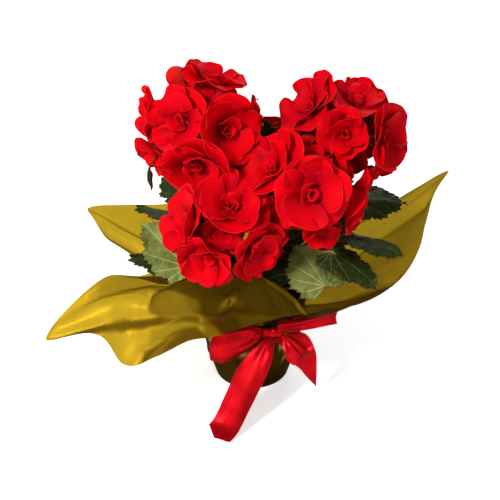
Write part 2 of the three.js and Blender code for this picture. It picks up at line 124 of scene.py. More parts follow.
# Each flower head: where its stem stands in the soil, the middle of the head, its blooms, and the
# leaves along its stem
HEADS = {
    "left": {
        "foot": (-14, 6),
        "middle": (-52, 0, 318),
        "blooms": [
            Bloom("rose", 306, 14, 32, 34),
            Bloom("rose", 262, -26, 40, 32),
            Bloom("rose", 236, 28, 31, 31),
            Bloom("rose", 20, 74, 40, 31),
            Bloom("cup", 170, 18, 42, 26, (196, 12)),
            Bloom("cup", 196, -22, 42, 26, (222, -22)),
            Bloom("cup", 222, -58, 54, 14),
            Bloom("cup", 8, 14, 44, 18),
            Bloom("rose", 86, 8, 32, 32),
            Bloom("cup", 140, -34, 36, 28),
            Bloom("bud", 136, 50, 44, 13),
            Bloom("bud", 326, -46, 42, 12),
        ],
        "leaves": [
            Leaf(0.32, (-76, 20, 196), (166, 12, 10), (56, 50), -0.2, 0.1),
            Leaf(0.42, (-62, 62, 196), (132, 12, -5), (68, 58), -0.2, 0.15),
        ],
    },
    "right": {
        "foot": (15, 5),
        "middle": (100, 15, 304),
        "blooms": [
            Bloom("rose", 176, 36, 38, 33, (200, 42)),
            Bloom("rose", 316, 70, 34, 27),
            Bloom("rose", 322, 10, 38, 32),
            Bloom("cup", 264, 22, 30, 26),
            Bloom("cup", 312, -40, 42, 17),
            Bloom("rose", 62, 24, 32, 32),
            Bloom("cup", 8, -28, 36, 27),
            Bloom("cup", 118, 0, 36, 26),
            Bloom("bud", 216, 0, 36, 12),
        ],
        "leaves": [
            Leaf(0.3, (86, -38, 186), (322, -8, 0), (60, 54), -0.18, 0.2),
            Leaf(0.36, (106, -14, 194), (335, 0, -10), (62, 50), -0.2, 0.15),
            Leaf(0.48, (106, 22, 218), (358, 8, 10), (64, 54), -0.2, 0.2),
        ],
    },
    "centre": {
        "foot": (8, -10),
        "middle": (54, -40, 268),
        "blooms": [
            Bloom("rose", 206, 38, 34, 34),
            Bloom("rose", 276, 18, 42, 34),
            Bloom("cup", 346, -14, 34, 33),
            Bloom("cup", 304, -52, 44, 20, (288, -8)),
            Bloom("cup", 232, -16, 30, 20),
            Bloom("cup", 4, 32, 36, 17),
        ],
        "leaves": [
            Leaf(0.25, (79, -71, 163), (128, 36, 0), (54, 68), -0.15, 0.15, True),
            Leaf(0.8, (14, 6, 268), (110, 62, 0), (52, 46), 0.15, -0.1),
        ],
    },
    "front": {
        "foot": (-8, -12),
        "middle": (-25, -58, 228),
        "blooms": [
            Bloom("rose", 280, 58, 32, 33),
            Bloom("rose", 202, 22, 35, 33),
            Bloom("rose", 308, -8, 36, 27),
            Bloom("cup", 248, -10, 38, 30),
            Bloom("cup", 356, -10, 36, 24),
        ],
        "leaves": [
            Leaf(0.3, (-71, -50, 174), (152, 36, -44), (66, 54), 0.25, 0.1, True),
            Leaf(0.3, (-72, -28, 160), (180, 16, -8), (62, 52), -0.15, 0.1),
        ],
    },
    "back": {
        "foot": (0, 15),
        "middle": (20, 62, 244),
        "blooms": [
            Bloom("rose", 84, 6, 32, 33),
            Bloom("cup", 148, 6, 36, 31),
            Bloom("cup", 20, -14, 36, 31),
            Bloom("cup", 86, -56, 38, 26),
        ],
        "leaves": [
            Leaf(0.4, (60, 62, 188), (36, 15, 0), (70, 60), -0.2, 0.12),
            Leaf(0.3, (6, 76, 181), (96, 14, 5), (68, 62), -0.2, 0.15),
            Leaf(0.42, (-20, 56, 172), (144, 8, -8), (60, 58), -0.2, 0.2),
        ],
    },
}

# Leaves deep in the plant, by the head whose stem carries them
INNER_LEAVES = {
    "left": [
        Leaf(0.3, (-40, 4, 184), (126, 44, 0), (64, 60), -0.2, 0.1),
        Leaf(0.5, (-36, 0, 226), (82, 52, 8), (60, 56), -0.2, 0.1),
        Leaf(0.8, (-64, 16, 258), (84, 64, 0), (50, 52), -0.1, 0.0),
    ],
    "right": [
        Leaf(0.25, (70, -10, 186), (40, 38, 8), (62, 58), -0.2, 0.15),
        Leaf(0.4, (82, 10, 222), (78, 46, -10), (58, 56), -0.2, 0.1),
    ],
    "centre": [
        Leaf(0.35, (28, -18, 182), (75, 52, 8), (62, 58), -0.15, 0.1),
        Leaf(0.45, (48, 0, 196), (52, 46, -12), (60, 58), -0.15, 0.1),
        Leaf(0.5, (30, -4, 206), (118, 50, 10), (58, 56), -0.2, 0.1),
    ],
    "front": [
        Leaf(0.25, (6, -44, 150), (62, 46, 0), (60, 62), -0.15, 0.0),
        Leaf(0.3, (-30, -36, 156), (128, 44, 10), (60, 60), -0.15, 0.0),
    ],
    "back": [
        Leaf(0.35, (24, 34, 190), (60, 34, 0), (64, 60), -0.2, 0.1),
    ],
}

# A bud that has withered on its stalk and hangs from the left head: its places and radii
WITHERED_BUD = [
    ((-78, -8, 306), 0.9),
    ((-96, -16, 296), 0.8),
    ((-106, -20, 284), 0.7),
    ((-109, -20, 277), 1.5),
    ((-108.5, -20, 271), 3.2),
    ((-109, -20, 264), 2.8),
    ((-107.5, -20, 257), 1.6),
    ((-108, -20, 252), 0.6),
]

# The right half of a leaf's outline, in shares of its half width and its length
LEAF_OUTLINE = [
    (0.02, 0.02),
    (0.4, -0.13),
    (0.82, -0.04),
    (1, 0.2),
    (0.93, 0.46),
    (0.64, 0.74),
    (0.27, 0.93),
    (0.03, 1.04),
]
LEAF_TEETH = 11
LEAF_COLUMNS = 18
ROWS_PER_TOOTH = 8
ROWS_PER_SMALL_TOOTH = 5
VEIN_ANGLE = math.radians(27)
TOOTH = 0.24
SMALL_TOOTH = 0.2
LEAF_RIPPLE = 0.06
VEIN_SWELL = 0.45
BLISTER = 1.3
EDGE_WAVER = 0.8
STEM_STEPS = 40
KNUCKLE_EVERY = 13
LEAF_STALK_STEPS = 16
LEAF_STALK_TAPER = 3
FLOWER_STALK_STEPS = 8
FLARE_STEP = 6
BUD_STEPS = 28

# Stations round the film's collar: azimuth, radius and height of its crest, then of its free edge
FILM_STATIONS = [
    ((14, 140, 172), (14, 226, 238)),
    ((22, 122, 158), (23, 188, 187)),
    ((32, 110, 147), (31, 174, 160)),
    ((46, 101, 141), (42, 154, 148)),
    ((62, 96, 143), (62, 134, 153)),
    ((84, 94, 148), (86, 126, 166)),
    ((105, 98, 150), (109, 132, 172)),
    ((123, 106, 142), (133, 156, 162)),
    ((147, 122, 140), (154, 217, 169)),
    ((159, 112, 134), (166, 172, 155)),
    ((171, 97, 127), (175, 136, 148)),
    ((183, 90, 124), (182, 114, 140)),
    ((189, 112, 137), (190, 146, 148)),
    ((194, 146, 149), (194, 167, 156)),
    ((199, 172, 140), (202, 240, 112)),
    ((203, 150, 147), (211, 190, 116)),
    ((208, 132, 150), (220, 178, 90)),
    ((215, 126, 156), (229, 152, 103)),
    ((226, 120, 175), (238, 124, 116)),
    ((238, 112, 191), (249, 110, 119)),
    ((251, 100, 200), (261, 107, 130)),
    ((264, 97, 200), (273, 107, 139)),
    ((276, 96, 190), (285, 110, 145)),
    ((287, 96, 166), (295, 114, 148)),
    ((297, 94, 134), (302, 120, 146)),
    ((307, 97, 128), (308, 128, 151)),
    ((317, 104, 128), (318, 146, 156)),
    ((328, 114, 130), (329, 160, 160)),
    ((340, 122, 134), (338, 176, 174)),
    ((352, 130, 144), (347, 186, 192)),
    ((2, 138, 156), (356, 192, 206)),
    ((9, 142, 166), (6, 204, 220)),
]

# The bow. Each strip has its path with the direction across it at each place, its first and full
# width and how soon it opens. A tail also has the shares of the path at which its left edge, its
# middle and its right edge end, and a strip that wrinkles less than the others says how loose it is.
KNOT = Vector((22, -64.2, 96))
KNOT_SIZE = Vector((11.5, 5.5, 7))
STRIPS = {
    "ribbon_loop_left": {
        "path": [
            ((10.5, -66.9, 97), (0, 0, 1)),
            ((-8, -78, 94), (0.1, 0, 1)),
            ((-28, -83, 89), (0.15, 0.1, 1)),
            ((-43, -78, 87), (0.2, 0, 1)),
            ((-40, -70, 89), (0.15, -0.2, 1)),
            ((-16, -67, 93), (0.1, -0.1, 1)),
            ((10.5, -63.3, 96), (0, 0, 1)),
        ],
        "width": (9, 36),
        "opens": 2.2,
    },
    "ribbon_loop_right": {
        "path": [
            ((33, -67.1, 93), (0, 0, 1)),
            ((42, -79, 88), (0.5, -0.3, 0.8)),
            ((50, -83, 78), (0.8, -0.2, 0.6)),
            ((58, -80, 72), (0.8, 0.1, 0.6)),
            ((58, -74, 76), (0.7, 0.2, 0.7)),
            ((47, -71, 84), (0.4, 0.1, 0.9)),
            ((33.3, -65.4, 91.6), (0, 0, 1)),
        ],
        "width": (9, 28.8),
        "opens": 1.5,
    },
    "ribbon_loop_side": {
        "path": [
            ((28.3, -68.3, 105), (0, 0, 1)),
            ((52, -67, 107), (0, -0.1, 1)),
            ((80, -58, 108), (0, -0.1, 1)),
            ((96, -49, 107), (0, 0, 1)),
            ((91, -45, 107), (0, 0.1, 1)),
            ((62, -56, 107), (0, 0.1, 1)),
            ((28.3, -65.7, 105.8), (0, 0, 1)),
        ],
        "width": (8, 18),
        "opens": 1.5,
        "loose": 0.35,
    },
    "ribbon_tail_left": {
        "path": [
            ((18.6, -65.6, 89.1), (1, 0, 0)),
            ((10, -79, 78), (0.9, -0.3, 0.1)),
            ((-3, -92, 56), (0.85, -0.5, 0)),
            ((-16, -104, 31), (0.8, -0.6, 0)),
            ((-30, -118, 7), (0.75, -0.66, 0)),
            ((-42, -129, 0.7), (0.75, -0.66, 0)),
        ],
        "width": (10, 36),
        "opens": 2.5,
        "cut": (0.88, 1, 0.94),
    },
    "ribbon_tail_right": {
        "path": [
            ((27, -65.2, 89), (1, 0, 0.2)),
            ((37, -62, 87), (0.7, 0, 0.9)),
            ((50, -63, 84), (0.8, 0.1, 0.7)),
            ((59, -64, 65), (1, 0.15, 0.3)),
            ((61, -62, 42), (1, 0.2, 0.2)),
            ((62, -57, 9), (1, 0.3, 0.2)),
        ],
        "width": (8, 27),
        "opens": 2.5,
        "cut": (0.68, 0.86, 1),
    },
}


def length_setting(name, description, default):
    return FloatProperty(name=name, description=description, default=default, unit="LENGTH")


def colour_setting(name, description, default):
    return FloatVectorProperty(name=name, description=description, default=default, subtype="COLOR")


class PlantSettings(bpy.types.PropertyGroup):
    """Sizes and colours of the plant"""

    petal_thickness: length_setting("Petal thickness", "Thickness of a petal", 0.0004)
    leaf_thickness: length_setting("Leaf thickness", "Thickness of a leaf blade", 0.0006)
    stem_radius: length_setting("Stem radius", "Radius of a stem at the soil", 0.004)
    fullness: FloatProperty(
        name="Bloom fullness", description="Size of each bloom against its solid", default=1.18
    )
    seed: IntProperty(name="Seed", description="Start of the random variation between blooms", default=7)
    petal_colour: colour_setting("Petal", "Colour of an open petal", (0.86, 0.0, 0.004))
    # Painted shade deep in a bloom and in its heart; the petal veins take this colour too
    petal_shade: colour_setting("Petal base", "Colour deep in a bloom", (0.3, 0.0, 0.006))
    leaf_colour: colour_setting("Leaf", "Colour of a grown leaf", (0.011, 0.022, 0.003))
    young_leaf_colour: colour_setting("Young leaf", "Colour of a young leaf", (0.165, 0.205, 0.04))
    stem_colour: colour_setting("Stem", "Colour of stems and stalks", (0.2, 0.18, 0.04))


class WrapSettings(bpy.types.PropertyGroup):
    """Sizes and colours of the film, the ribbon and the pot"""

    film_thickness: length_setting("Film thickness", "Thickness of the film", 0.00015)
    film_side: length_setting("Film side", "Side of the film's square", 0.45)
    ribbon_thickness: length_setting("Ribbon thickness", "Thickness of the ribbon", 0.0004)
    film_colour: colour_setting("Film", "Tint of the film", (0.5, 0.33, 0.017))
    ribbon_colour: colour_setting("Ribbon", "Colour of the satin ribbon", (0.66, 0.006, 0.012))
    pot_colour: colour_setting("Pot", "Colour of the plastic pot", (0.02, 0.014, 0.01))
    soil_colour: colour_setting("Soil", "Colour of the peat", (0.03, 0.016, 0.008))


# Places and curves


def mix(a, b, share):
    return a + (b - a) * share


def polar(azimuth, radius, height):
    a = math.radians(azimuth)
    return Vector((radius * math.cos(a), radius * math.sin(a), height))


def facing(azimuth, elevation):
    e = math.radians(elevation)
    return polar(azimuth, math.cos(e), math.sin(e))


def curve_point(points, share, closed=False, tension=None):
    """The point at a share of a smooth curve, centripetal unless a tension is given."""
    count = len(points)
    spans = count if closed else count - 1
    start = min(int(spans * share), spans - 1)
    weight = spans * share - start
    after = (start + 1) % count
    before = points[start - 1] if closed or start else 2 * points[0] - points[1]
    last = points[(start + 2) % count] if closed or start + 2 < count else 2 * points[-1] - points[-2]
    p, q = points[start], points[after]
    if tension is None:
        d0, d1, d2 = (max((b - a).length, 1e-4) ** 0.5 for a, b in ((before, p), (p, q), (q, last)))
        leave = d1 * ((p - before) / d0 - (q - before) / (d0 + d1) + (q - p) / d1)
        arrive = d1 * ((q - p) / d1 - (last - p) / (d1 + d2) + (last - q) / d2)
    else:
        leave = tension * (q - before)
        arrive = tension * (last - p)
    cubic = 2 * p - 2 * q + leave + arrive
    square = 3 * q - 3 * p - 2 * leave - arrive
    return p + weight * (leave + weight * (square + weight * cubic))


def zigzag(position):
    """0 at even whole numbers and 1 at odd ones."""
    return 1 - abs(position % 2 - 1)


def smooth_step(low, high, value):
    share = min(1, max(0, (value - low) / (high - low)))
    return share * share * (3 - 2 * share)


# Meshes


def deselect_all():
    bpy.ops.object.select_all(action="DESELECT")


def select_only(*pieces):
    deselect_all()
    for piece in pieces:
        piece.select_set(True)
    bpy.context.view_layer.objects.active = pieces[0]


def placed(name, data):
    """A new object in the scene for a mesh, curve, lamp or camera."""
    thing = bpy.data.objects.new(name, data)
    bpy.context.scene.collection.objects.link(thing)
    return thing


def shaped_grid(name, across, along, place):
    """A grid whose points go where place(u, v) says, u and v from -1 to 1.

    place gives a point in millimetres, and three numbers that the materials read as "surface".
    """
    deselect_all()
    bpy.ops.mesh.primitive_grid_add(x_subdivisions=across, y_subdivisions=along, size=2)
    piece = bpy.context.object
    piece.name = name
    surface = piece.data.attributes.new("surface", "FLOAT_VECTOR", "POINT")
    for i, vertex in enumerate(piece.data.vertices):
        spot, numbers = place(vertex.co.x, vertex.co.y)
        vertex.co = spot * MM
        surface.data[i].vector = numbers
    return piece


def joined(name, pieces):
    select_only(*pieces)
    if len(pieces) > 1:
        bpy.ops.object.join()
    piece = bpy.context.object
    piece.name = name
    return piece


def apply_modifier(piece, kind, **settings):
    select_only(piece)
    modifier = piece.modifiers.new(kind.title(), kind)
    for key, value in settings.items():
        setattr(modifier, key, value)
    bpy.ops.object.modifier_apply(modifier=modifier.name)


def give_thickness(piece, thickness, **settings):
    apply_modifier(piece, "SOLIDIFY", thickness=thickness, offset=0, use_even_offset=False, **settings)


def merge_doubles(piece, threshold, outwards=True):
    """Merge the points that lie on each other and, if asked, turn all faces outwards."""
    select_only(piece)
    bpy.ops.object.mode_set(mode="EDIT")
    bpy.ops.mesh.select_all(action="SELECT")
    bpy.ops.mesh.remove_doubles(threshold=threshold)
    if outwards:
        bpy.ops.mesh.normals_make_consistent(inside=False)
    bpy.ops.object.mode_set(mode="OBJECT")


def smooth_shaded(piece, angle=60):
    select_only(piece)
    bpy.ops.object.shade_smooth_by_angle(angle=math.radians(angle))


def give_material(piece, material):
    piece.data.materials.clear()
    piece.data.materials.append(material)


def stalk(name, points, radii, material, sides=3):
    """A tube through points, with a radius at each, in millimetres."""
    curve = bpy.data.curves.new(name, "CURVE")
    curve.dimensions = "3D"
    curve.bevel_depth = MM
    curve.bevel_resolution = sides
    curve.use_fill_caps = True
    spline = curve.splines.new("POLY")
    spline.points.add(len(points) - 1)
    for spot, point, radius in zip(spline.points, points, radii):
        spot.co = (*(point * MM), 1)
        spot.radius = radius
    select_only(placed(name, curve))
    bpy.ops.object.convert(target="MESH")
    piece = bpy.context.object
    give_material(piece, material)
    return piece


def finish_piece(piece, slot, *nodes):
    """The piece stands for CAD nodes and rides with the whole. Its slot is not used."""
    piece.data.name = piece.name
    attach(piece, "root")
    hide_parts(*nodes)


# Materials


def node(tree, kind, inputs=None, **settings):
    """A new node with its settings made and its inputs linked or set."""
    made = tree.nodes.new("ShaderNode" + kind)
    for key, value in settings.items():
        setattr(made, key, value)
    for key, value in (inputs or {}).items():
        if isinstance(value, bpy.types.NodeSocket):
            tree.links.new(value, made.inputs[key])
        else:
            made.inputs[key].default_value = value
    return made


def maths(tree, operation, *values, clamp=False):
    return node(tree, "Math", dict(enumerate(values)), operation=operation, use_clamp=clamp).outputs[0]


def times(tree, value, factor):
    return maths(tree, "MULTIPLY", value, factor)


def band(tree, value, low, high):
    """A value carried smoothly from low..high to 0..1."""
    inputs = {"Value": value, "From Min": low, "From Max": high}
    return node(tree, "MapRange", inputs, interpolation_type="SMOOTHSTEP").outputs["Result"]


def blend_colours(tree, mask, first, second):
    return node(tree, "Mix", {0: mask, 6: first, 7: second}, data_type="RGBA").outputs[2]


def laid_over(tree, colour, mask, share, upper):
    """A colour with a share of another over it where a mask shows."""
    return blend_colours(tree, times(tree, mask, share), colour, upper)


def opaque(colour, brightness=1):
    return (*(min(1, c * brightness) for c in colour), 1)


def surface_numbers(tree):
    """The three numbers that a piece carries along its own surface."""
    read = node(tree, "Attribute", attribute_name="surface")
    return node(tree, "SeparateXYZ", {"Vector": read.outputs["Vector"]}).outputs


def object_place(tree):
    return node(tree, "TexCoord").outputs["Object"]


def new_group(name, inputs, outputs):
    """A node group with number sockets, and the sockets at its two ends."""
    tree = bpy.data.node_groups.new(name, "ShaderNodeTree")
    for label, default in inputs.items():
        socket = tree.interface.new_socket(label, in_out="INPUT", socket_type="NodeSocketFloat")
        socket.default_value = default
    for label in outputs:
        tree.interface.new_socket(label, in_out="OUTPUT", socket_type="NodeSocketFloat")
    return tree, tree.nodes.new("NodeGroupInput").outputs, tree.nodes.new("NodeGroupOutput").inputs


def made_once(make):
    """What a function makes for given values, made when it is first asked for and then kept."""
    kept = {}

    def get(*given):
        if given not in kept:
            kept[given] = make(*given)
        return kept[given]

    return get


@made_once
def mottle_group():
    """Soft patches and a fine grain, both from 0 to 1, at given sizes in metres."""
    inputs = {"Patch size": 0.02, "Grain size": 0.001}
    tree, given, made = new_group("Mottle and grain", inputs, ["Patches", "Grain"])
    place = object_place(tree)
    for label, size, detail in (("Patches", "Patch size", 3.0), ("Grain", "Grain size", 2.0)):
        scale = maths(tree, "DIVIDE", 1.0, given[size])
        cloud = node(tree, "TexNoise", {"Vector": place, "Scale": scale, "Detail": detail})
        tree.links.new(band(tree, cloud.outputs["Fac"], 0.3, 0.7), made[label])
    return tree


@made_once
def fine_lines_group():
    """Fine lines that run along a surface: a mask of 1 on each line, for veins and for threads."""
    inputs = {"Across": 0.0, "Along": 0.0, "Count": 20.0, "Waver": 0.3}
    tree, given, made = new_group("Fine lines", inputs, ["Lines"])
    both = node(tree, "CombineXYZ", {"X": given["Across"], "Y": given["Along"]})
    cloud = node(tree, "TexNoise", {"Vector": both.outputs[0], "Scale": 3.0, "Detail": 1.0})
    shift = times(tree, maths(tree, "SUBTRACT", cloud.outputs["Fac"], 0.5), given["Waver"])
    turns = times(tree, maths(tree, "ADD", given["Across"], shift), given["Count"])
    wave = maths(tree, "ABSOLUTE", maths(tree, "SINE", times(tree, turns, math.pi)))
    tree.links.new(band(tree, wave, 0.35, 0.0), made["Lines"])
    return tree


@made_once
def leaf_veins_group():
    """Veins that spread from the stalk, with side veins and a fine net, from a leaf's own plane."""
    tree, given, made = new_group("Leaf veins", {"X": 0.0, "Y": 0.0}, ["Main", "Side", "Net"])
    x, y = given["X"], given["Y"]
    far = maths(tree, "SQRT", maths(tree, "ADD", times(tree, x, x), times(tree, y, y)))
    angle = maths(tree, "ABSOLUTE", maths(tree, "ARCTAN2", x, y))
    half = maths(tree, "WRAP", angle, -VEIN_ANGLE / 2, VEIN_ANGLE / 2)
    aside = times(tree, far, maths(tree, "ABSOLUTE", half))
    width = maths(tree, "SUBTRACT", 1.1, times(tree, far, 0.012))
    main = maths(tree, "SUBTRACT", 1.0, maths(tree, "DIVIDE", aside, width), clamp=True)
    step = maths(tree, "SUBTRACT", far, times(tree, aside, 1.1))
    rung = maths(tree, "PINGPONG", step, 4.5)
    side = maths(tree, "SUBTRACT", 1.0, maths(tree, "DIVIDE", rung, 0.45), clamp=True)
    spot = node(tree, "CombineXYZ", {"X": x, "Y": y})
    net = node(tree, "TexVoronoi", {"Vector": spot.outputs[0], "Scale": 0.45}, feature="DISTANCE_TO_EDGE")
    tree.links.new(main, made["Main"])
    tree.links.new(side, made["Side"])
    tree.links.new(band(tree, net.outputs["Distance"], 0.16, 0.0), made["Net"])
    return tree


def use_group(tree, group, **inputs):
    inputs = {label.replace("_", " "): value for label, value in inputs.items()}
    return node(tree, "Group", inputs, node_tree=group).outputs


def fine_lines(tree, across, along, count, waver):
    inputs = {"Across": across, "Along": along, "Count": count, "Waver": waver}
    return use_group(tree, fine_lines_group(), **inputs)["Lines"]


def mottled(tree, patch, grain):
    """The patches and the grain, at sizes in millimetres."""
    return use_group(tree, mottle_group(), Patch_size=patch * MM, Grain_size=grain * MM)


def bump(tree, height, strength, distance, under=None):
    inputs = {"Height": height, "Strength": strength, "Distance": distance}
    if under is not None:
        inputs["Normal"] = under
    return node(tree, "Bump", inputs).outputs["Normal"]


def new_material(name, **constants):
    """A material with one Principled BSDF, whose plain numbers are set on its own sockets."""
    material = bpy.data.materials.new(name)
    material.use_nodes = True
    tree = material.node_tree
    shader = tree.nodes["Principled BSDF"]
    for label, value in constants.items():
        shader.inputs[label.replace("_", " ")].default_value = value
    return material, tree, shader


def connect(tree, shader, **sockets):
    for label, socket in sockets.items():
        tree.links.new(socket, shader.inputs[label.replace("_", " ")])


@made_once
def petal_material(bud):
    """Velvety red petals: painted shade towards the base and in the heart, a rim partly painted
    highlight. A bud shows orange veins and a painted orange highlight.
    """
    plant = bpy.context.scene.begonia_plant
    name = "bud_petal" if bud else "petal"
    material, tree, shader = new_material(
        name,
        Roughness=0.55,
        Specular_IOR_Level=0.08,
        Specular_Tint=(1.0, 0.4, 0.35, 1),
        Subsurface_Weight=0.12,
        Subsurface_Radius=(0.004, 0.0008, 0.0006),
        Subsurface_Scale=1.0,
    )
    across, along, tone = surface_numbers(tree)
    mottle = mottled(tree, 12, 0.9)
    veins = fine_lines(tree, across, along, 7.0, 0.12)
    # Painted shade: the colour deepens towards the petal's base, deep in the bloom
    depth = band(tree, along, 0.0, 0.75)
    colour = blend_colours(tree, depth, opaque(plant.petal_shade), opaque(plant.petal_colour))
    # Painted shade: a low tone darkens the petal, for the closed heart and for small blooms deep in a
    # head; elsewhere the tone varies at random
    darker = times(tree, maths(tree, "SUBTRACT", 1.0, tone), 0.55)
    colour = blend_colours(tree, darker, colour, opaque(plant.petal_shade, 0.8))
    colour = laid_over(tree, colour, mottle["Patches"], 0.22, (0.62, 0, 0.02, 1))
    fade = maths(tree, "SUBTRACT", 1.0, times(tree, along, 0.6))
    if bud:
        shown = times(tree, veins, 0.45)
        # Painted highlight: an orange glow across the middle of the bud
        glow = times(tree, band(tree, maths(tree, "ABSOLUTE", across), 0.8, 0.1), 0.1)
        colour = blend_colours(tree, glow, colour, (0.8, 0.1, 0.03, 1))
        colour = blend_colours(tree, shown, colour, (0.75, 0.1, 0.04, 1))
    else:
        shown = times(tree, times(tree, veins, fade), 0.3)
        colour = blend_colours(tree, shown, colour, opaque(plant.petal_shade, 0.9))
    # A paler rim: the petal's own paler margin, partly painted highlight along its edge
    side = maths(tree, "ABSOLUTE", across)
    rim = band(tree, maths(tree, "MAXIMUM", side, along), 0.96, 1.0)
    rim = times(tree, rim, band(tree, along, 0.3, 0.6))
    rim = times(tree, rim, mottle["Patches"])
    colour = laid_over(tree, colour, rim, 0.3, (0.9, 0.07, 0.07, 1))
    normal = bump(tree, veins, 0.35, 0.0004)
    normal = bump(tree, mottle["Grain"], 0.25, 0.0002, normal)
    connect(tree, shader, Base_Color=colour, Normal=normal)
    return material


@made_once
def leaf_material(young):
    """A leaf's upper face: paler veins let into a blistered, half glossy green."""
    plant = bpy.context.scene.begonia_plant
    name = "young_leaf" if young else "grown_leaf"
    material, tree, shader = new_material(
        name,
        Specular_IOR_Level=0.12,
        Specular_Tint=(0.9, 1.0, 0.4, 1),
        Subsurface_Weight=0.06,
        Subsurface_Radius=(0.001, 0.002, 0.0005),
    )
    base = plant.young_leaf_colour if young else plant.leaf_colour
    pale = (0.44, 0.48, 0.18) if young else (0.11, 0.13, 0.035)
    x, y, edge = surface_numbers(tree)
    mottle = mottled(tree, 14, 0.8)
    veins = use_group(tree, leaf_veins_group(), X=x, Y=y)
    colour = blend_colours(tree, mottle["Patches"], opaque(base, 0.75), opaque(base, 1.3))
    colour = laid_over(tree, colour, veins["Net"], 0.25, opaque(pale, 0.8))
    colour = laid_over(tree, colour, veins["Side"], 0.45, opaque(pale))
    colour = laid_over(tree, colour, veins["Main"], 0.9, opaque(pale, 1.1))
    rim = band(tree, edge, 0.93, 1.0)
    colour = laid_over(tree, colour, rim, 0.5, (0.12, 0.07, 0.02, 1))
    roughness = maths(tree, "ADD", 0.42, times(tree, mottle["Patches"], 0.15))
    raised = maths(tree, "MAXIMUM", times(tree, veins["Side"], 0.7), veins["Main"])
    normal = bump(tree, raised, -0.5, 0.0009)
    normal = bump(tree, veins["Net"], -0.3, 0.0004, normal)
    normal = bump(tree, mottle["Grain"], 0.2, 0.0002, normal)
    connect(tree, shader, Base_Color=colour, Roughness=roughness, Normal=normal)
    return material


@made_once
def leaf_back_material(young):
    """A leaf's lower face: paler and duller, with the veins standing out."""
    name = "young_leaf_back" if young else "grown_leaf_back"
    material, tree, shader = new_material(name, Roughness=0.55, Specular_IOR_Level=0.35)
    base = (0.3, 0.36, 0.12) if young else (0.07, 0.05, 0.025)
    pale = (0.55, 0.55, 0.25) if young else (0.18, 0.13, 0.06)
    x, y, _ = surface_numbers(tree)
    mottle = mottled(tree, 18, 1)
    veins = use_group(tree, leaf_veins_group(), X=x, Y=y)
    colour = blend_colours(tree, mottle["Patches"], opaque(base, 0.8), opaque(base, 1.2))
    raised = maths(tree, "MAXIMUM", times(tree, veins["Side"], 0.7), veins["Main"])
    colour = laid_over(tree, colour, raised, 0.8, opaque(pale))
    normal = bump(tree, raised, 0.6, 0.001)
    normal = bump(tree, veins["Net"], 0.3, 0.0004, normal)
    connect(tree, shader, Base_Color=colour, Normal=normal)
    return material


@made_once
def stem_material():
    """Juicy stalks: green going over to reddish brown in patches, with fine lengthwise speckles."""
    plant = bpy.context.scene.begonia_plant
    material, tree, shader = new_material(
        "stem", Roughness=0.35, Subsurface_Weight=0.15, Subsurface_Radius=(0.002, 0.0015, 0.0005)
    )
    mottle = mottled(tree, 25, 1.2)
    colour = blend_colours(tree, mottle["Patches"], opaque(plant.stem_colour), (0.3, 0.09, 0.03, 1))
    colour = laid_over(tree, colour, mottle["Grain"], 0.35, (0.36, 0.3, 0.12, 1))
    normal = bump(tree, mottle["Grain"], 0.3, 0.0003)
    connect(tree, shader, Base_Color=colour, Normal=normal)
    return material


@made_once
def withered_material():
    """A dried flower bud: nearly black brown, wrinkled along its length."""
    material, tree, shader = new_material("withered_bud", Roughness=0.7, Specular_IOR_Level=0.2)
    mottle = mottled(tree, 4, 0.6)
    colour = blend_colours(tree, mottle["Patches"], (0.02, 0.008, 0.004, 1), (0.075, 0.03, 0.012, 1))
    normal = bump(tree, mottle["Grain"], 0.6, 0.0006)
    connect(tree, shader, Base_Color=colour, Normal=normal)
    return material


@made_once
def film_material():
    """Clear gold film: it tints what is behind it and shines along its creases; its tint holds painted
    shade and painted glints.
    """
    wrap = bpy.context.scene.begonia_wrap
    material, tree, shader = new_material(
        "gold_film", Transmission_Weight=0.88, IOR=1.05, Specular_Tint=(1.0, 0.75, 0.25, 1), Metallic=0.17
    )
    mottle = mottled(tree, 50, 2)
    tint = opaque(wrap.film_colour)
    cloudy = times(tree, mottle["Patches"], 0.35)
    colour = blend_colours(tree, cloudy, tint, opaque(wrap.film_colour, 0.86))
    # Seen at a slant the film looks deeper. Its tint is painted deeper where it lies double, where
    # painted shade falls on it and all round the pot, and a depth below 0 is a painted glint.
    slant = node(tree, "LayerWeight", {"Blend": 0.5}).outputs["Facing"]
    deep = times(tree, band(tree, slant, 0.25, 0.95), 0.7)
    colour = blend_colours(tree, deep, colour, opaque(wrap.film_colour, 0.3))
    depth = surface_numbers(tree)[2]
    colour = blend_colours(tree, depth, colour, (0.085, 0.036, 0.0008, 1))
    # Painted glint: pale gold where the depth is below 0
    glint = maths(tree, "MULTIPLY", depth, -1.0, clamp=True)
    colour = blend_colours(tree, glint, colour, (1.0, 0.9, 0.5, 1))
    place = object_place(tree)
    soft = node(tree, "TexNoise", {"Vector": place, "Scale": 18.0, "Detail": 3.0, "Distortion": 0.6})
    normal = bump(tree, soft.outputs["Fac"], 0.3, 0.006)
    roughness = maths(tree, "ADD", 0.45, times(tree, mottle["Grain"], 0.05))
    # Light passes on through the film instead of leaving a black shadow
    path = node(tree, "LightPath")
    clear = maths(tree, "SUBTRACT", 1.0, times(tree, path.outputs["Is Shadow Ray"], 0.45))
    connect(tree, shader, Base_Color=colour, Roughness=roughness, Normal=normal, Alpha=clear)
    return material


